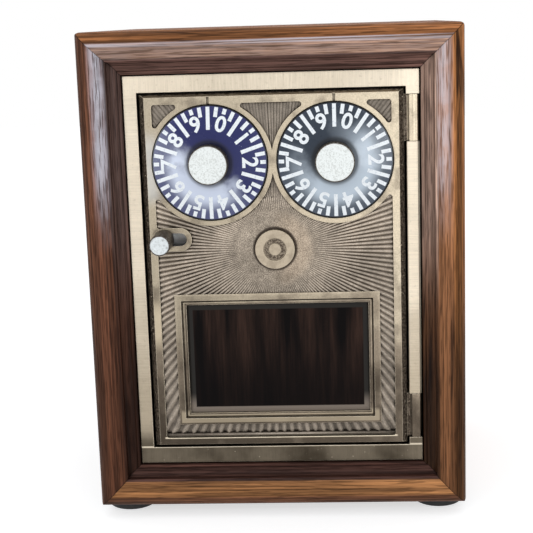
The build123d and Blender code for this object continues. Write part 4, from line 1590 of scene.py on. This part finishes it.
@dataclass
class Door:
    """The brass frame, the cast door, its window, dials, latch and lock."""

    sunburst: Sunburst = field(default_factory=Sunburst)
    # Each dial's second colour is a painted reflection, laid towards its lean.
    enamels: dict[str, EnamelFinish] = field(
        default_factory=lambda: {
            "left": enamel("left", 212.0, -0.1, "#1a1f59", "#d6dcec", "#3f4070"),
            "right": enamel("right", 150.0, -1.0, "#28323f", "#c4ced8", "#2b3245"),
        }
    )
    sheet_brass: MetalFinish = MetalFinish(
        "sheet_brass",
        base=linear("#a08a5c"),
        stain=linear("#6f5f3d"),
        bright=linear("#d8c690"),
        roughness=0.32,
        patches=0.16,
    )
    # The bolt plate's near white is lighter than the zinc itself: painted light, so that it reads
    # grey in the slot's shade.
    zinc: MetalFinish = MetalFinish(
        "bolt_zinc",
        base=linear("#f0ede9"),
        stain=linear("#c4c0bb"),
        bright=linear("#f6f4f0"),
        roughness=0.3,
        metallic=0.5,
    )
    turned_brass: MetalFinish = MetalFinish(
        "turned_brass", base=linear("#b39a5e"), stain=linear("#6a5732"), bright=linear("#e2cf98")
    )
    fibre: MatteFinish = MatteFinish("fibre", linear("#5e2a1c"), linear("#8a6a58"), 0.8)
    latch: KnobFinish = KnobFinish(
        "latch_nickel", -11.0, cap=linear("#c5c8c8"), speck=linear("#858683"), scale=0.7
    )
    knob: KnobFinish = KnobFinish("dial_knob_nickel", -6.8)

    def dress(self) -> None:
        """Gives the frame, the door and what is behind it their finishes."""
        dress(FrameBrassFinish().make(), "door_frame")
        cast = DoorBrassFinish().make()
        dress(cast, "door_plate")
        self.sunburst.build_window_bead(cast)
        dress(StudFinish().make(), "centre_stud")
        dress(self.sheet_brass.make(), "lock_case", "glass_retainer")
        dress(self.zinc.make(), "bolt_plate")
        turned, fibre = self.turned_brass.make(), self.fibre.make()
        for side in self.enamels:
            dress(turned, f"{side}_spindle", f"{side}_tumbler_wheel", f"{side}_wheel_nut")
            dress(fibre, f"{side}_friction_washer")
        dress(GlassFinish().make(), "window_glass")
        dress(self.latch.make(), "latch_knob")

    def build(self) -> None:
        """Builds what is cast or painted on the door."""
        self.sunburst.build(ReliefFinish().make())
        paint = PaintFinish().make()
        knob = self.knob.make()
        for side, finish in self.enamels.items():
            dress(finish.make(), finish.node)
            dress(knob, f"{side}_dial_knob")
            face = DialFace(side)
            face.marks(paint)
            face.numbers(paint)


@dataclass(frozen=True)
class Lamp:
    """A soft rectangular lamp that points at the box, with its power in watts."""

    name: str
    place: Point
    size: Span
    power: float
    colour: Colour = (0.86, 0.93, 1.0)

    def hang(self) -> None:
        """Adds the lamp to the scene."""
        data = bpy.data.lights.new(self.name, "AREA")
        data.shape = "RECTANGLE"
        data.size, data.size_y = (side * MM for side in self.size)
        data.color = self.colour
        data.energy = self.power
        lamp = bpy.data.objects.new(self.name, data)
        lamp.location = Vector(self.place) * MM
        aim = Vector((0.0, 0.0, CASE_MIDDLE * MM)) - lamp.location
        lamp.rotation_euler = aim.to_track_quat("-Z", "Y").to_euler()
        bpy.context.scene.collection.objects.link(lamp)


@dataclass
class Studio:
    """The floor, the light and the camera."""

    image_width: float = 533.0
    sensor: float = 36.0
    focal_pixels: float = 1250.0
    clip: Span = (0.01, 10.0)
    camera_place: Point = (22.4, BRASS_Y - 376.4, 154.8)
    camera_turn: Point = (10.91, -1.44, -2.78)
    centre_pixels: tuple[float, float] = (18.6, -8.3)
    floor_half: float = 1500.0
    floor_colour: Colour = linear("#d8d8d8")
    floor_glow: float = 0.62
    sky: Colour = (0.97, 0.985, 1.0)
    sky_strength: float = 0.75
    white: Colour = (1.0, 1.0, 1.0)
    lamps: tuple[Lamp, ...] = (
        Lamp("right_window", (213.0, BRASS_Y - 592.5, 95.0), (80.0, 190.0), 0.5),
        Lamp("left_window", (-293.0, BRASS_Y - 549.5, 100.0), (80.0, 190.0), 0.4),
        Lamp("high_window", (-60.0, BRASS_Y - 514.5, 360.0), (420.0, 50.0), 0.45),
    )

    def build(self) -> None:
        """Sets up the whole studio."""
        scene = bpy.context.scene
        scene.view_settings.view_transform = "Standard"
        self._camera(scene)
        self._world(scene)
        self._floor(scene)
        for lamp in self.lamps:
            lamp.hang()

    def _camera(self, scene: bpy.types.Scene) -> None:
        """Places the camera at the photograph's angle."""
        data = bpy.data.cameras.new("camera")
        data.sensor_width = self.sensor
        data.lens = self.focal_pixels / self.image_width * self.sensor
        data.shift_x = -self.centre_pixels[0] / self.image_width
        data.shift_y = self.centre_pixels[1] / self.image_width
        data.clip_start, data.clip_end = self.clip
        turn = Vector(math.radians(c) for c in self.camera_turn)
        seen = Matrix.Rotation(turn.length, 3, turn.normalized()).transposed()
        upright = Matrix.Rotation(math.pi / 2, 3, "X")
        place = Matrix.Translation(Vector(self.camera_place) * MM)
        camera = bpy.data.objects.new("camera", data)
        camera.matrix_world = place @ (seen @ upright).to_4x4()
        scene.collection.objects.link(camera)
        scene.camera = camera

    def _world(self, scene: bpy.types.Scene) -> None:
        """A soft even light that the camera, gloss and glass see as white."""
        world = bpy.data.worlds.new("studio")
        world.use_nodes = True
        sheet = NodeSheet(world.node_tree)
        light = world.node_tree.nodes["Background"]
        sheet.feed(light.inputs["Color"], self.sky)
        sheet.feed(light.inputs["Strength"], self.sky_strength)
        white = sheet.add("Background")
        sheet.feed(white.inputs["Color"], self.white)
        both = sheet.add("MixShader")
        sheet.feed(both.inputs[0], sheet.seen())
        sheet.feed(both.inputs[1], light.outputs[0])
        sheet.feed(both.inputs[2], white.outputs[0])
        sheet.feed(world.node_tree.nodes["World Output"].inputs["Surface"], both.outputs[0])
        scene.world = world

    def _floor(self, scene: bpy.types.Scene) -> None:
        """A pale floor that keeps the box's shadow."""
        half = self.floor_half * MM
        mesh = bpy.data.meshes.new("floor")
        corners = [(-half, -half, 0.0), (half, -half, 0.0), (half, half, 0.0), (-half, half, 0.0)]
        mesh.from_pydata(corners, [], [(0, 1, 2, 3)])
        floor = bpy.data.objects.new("floor", mesh)
        scene.collection.objects.link(floor)
        look = Surface("floor")
        look.feed(Base_Color=self.floor_colour, Roughness=0.9, Specular_IOR_Level=0.0)
        look.feed(Emission_Color=look.sheet.seen(), Emission_Strength=self.floor_glow)
        mesh.materials.append(look.material)


def main() -> None:
    """Dresses the box, builds its details and sets up the studio."""
    logging.basicConfig(level=logging.INFO, format="%(message)s")
    random.seed(5)
    Case().dress()
    door = Door()
    door.dress()
    door.build()
    Studio().build()


if __name__ == "__main__":
    main()
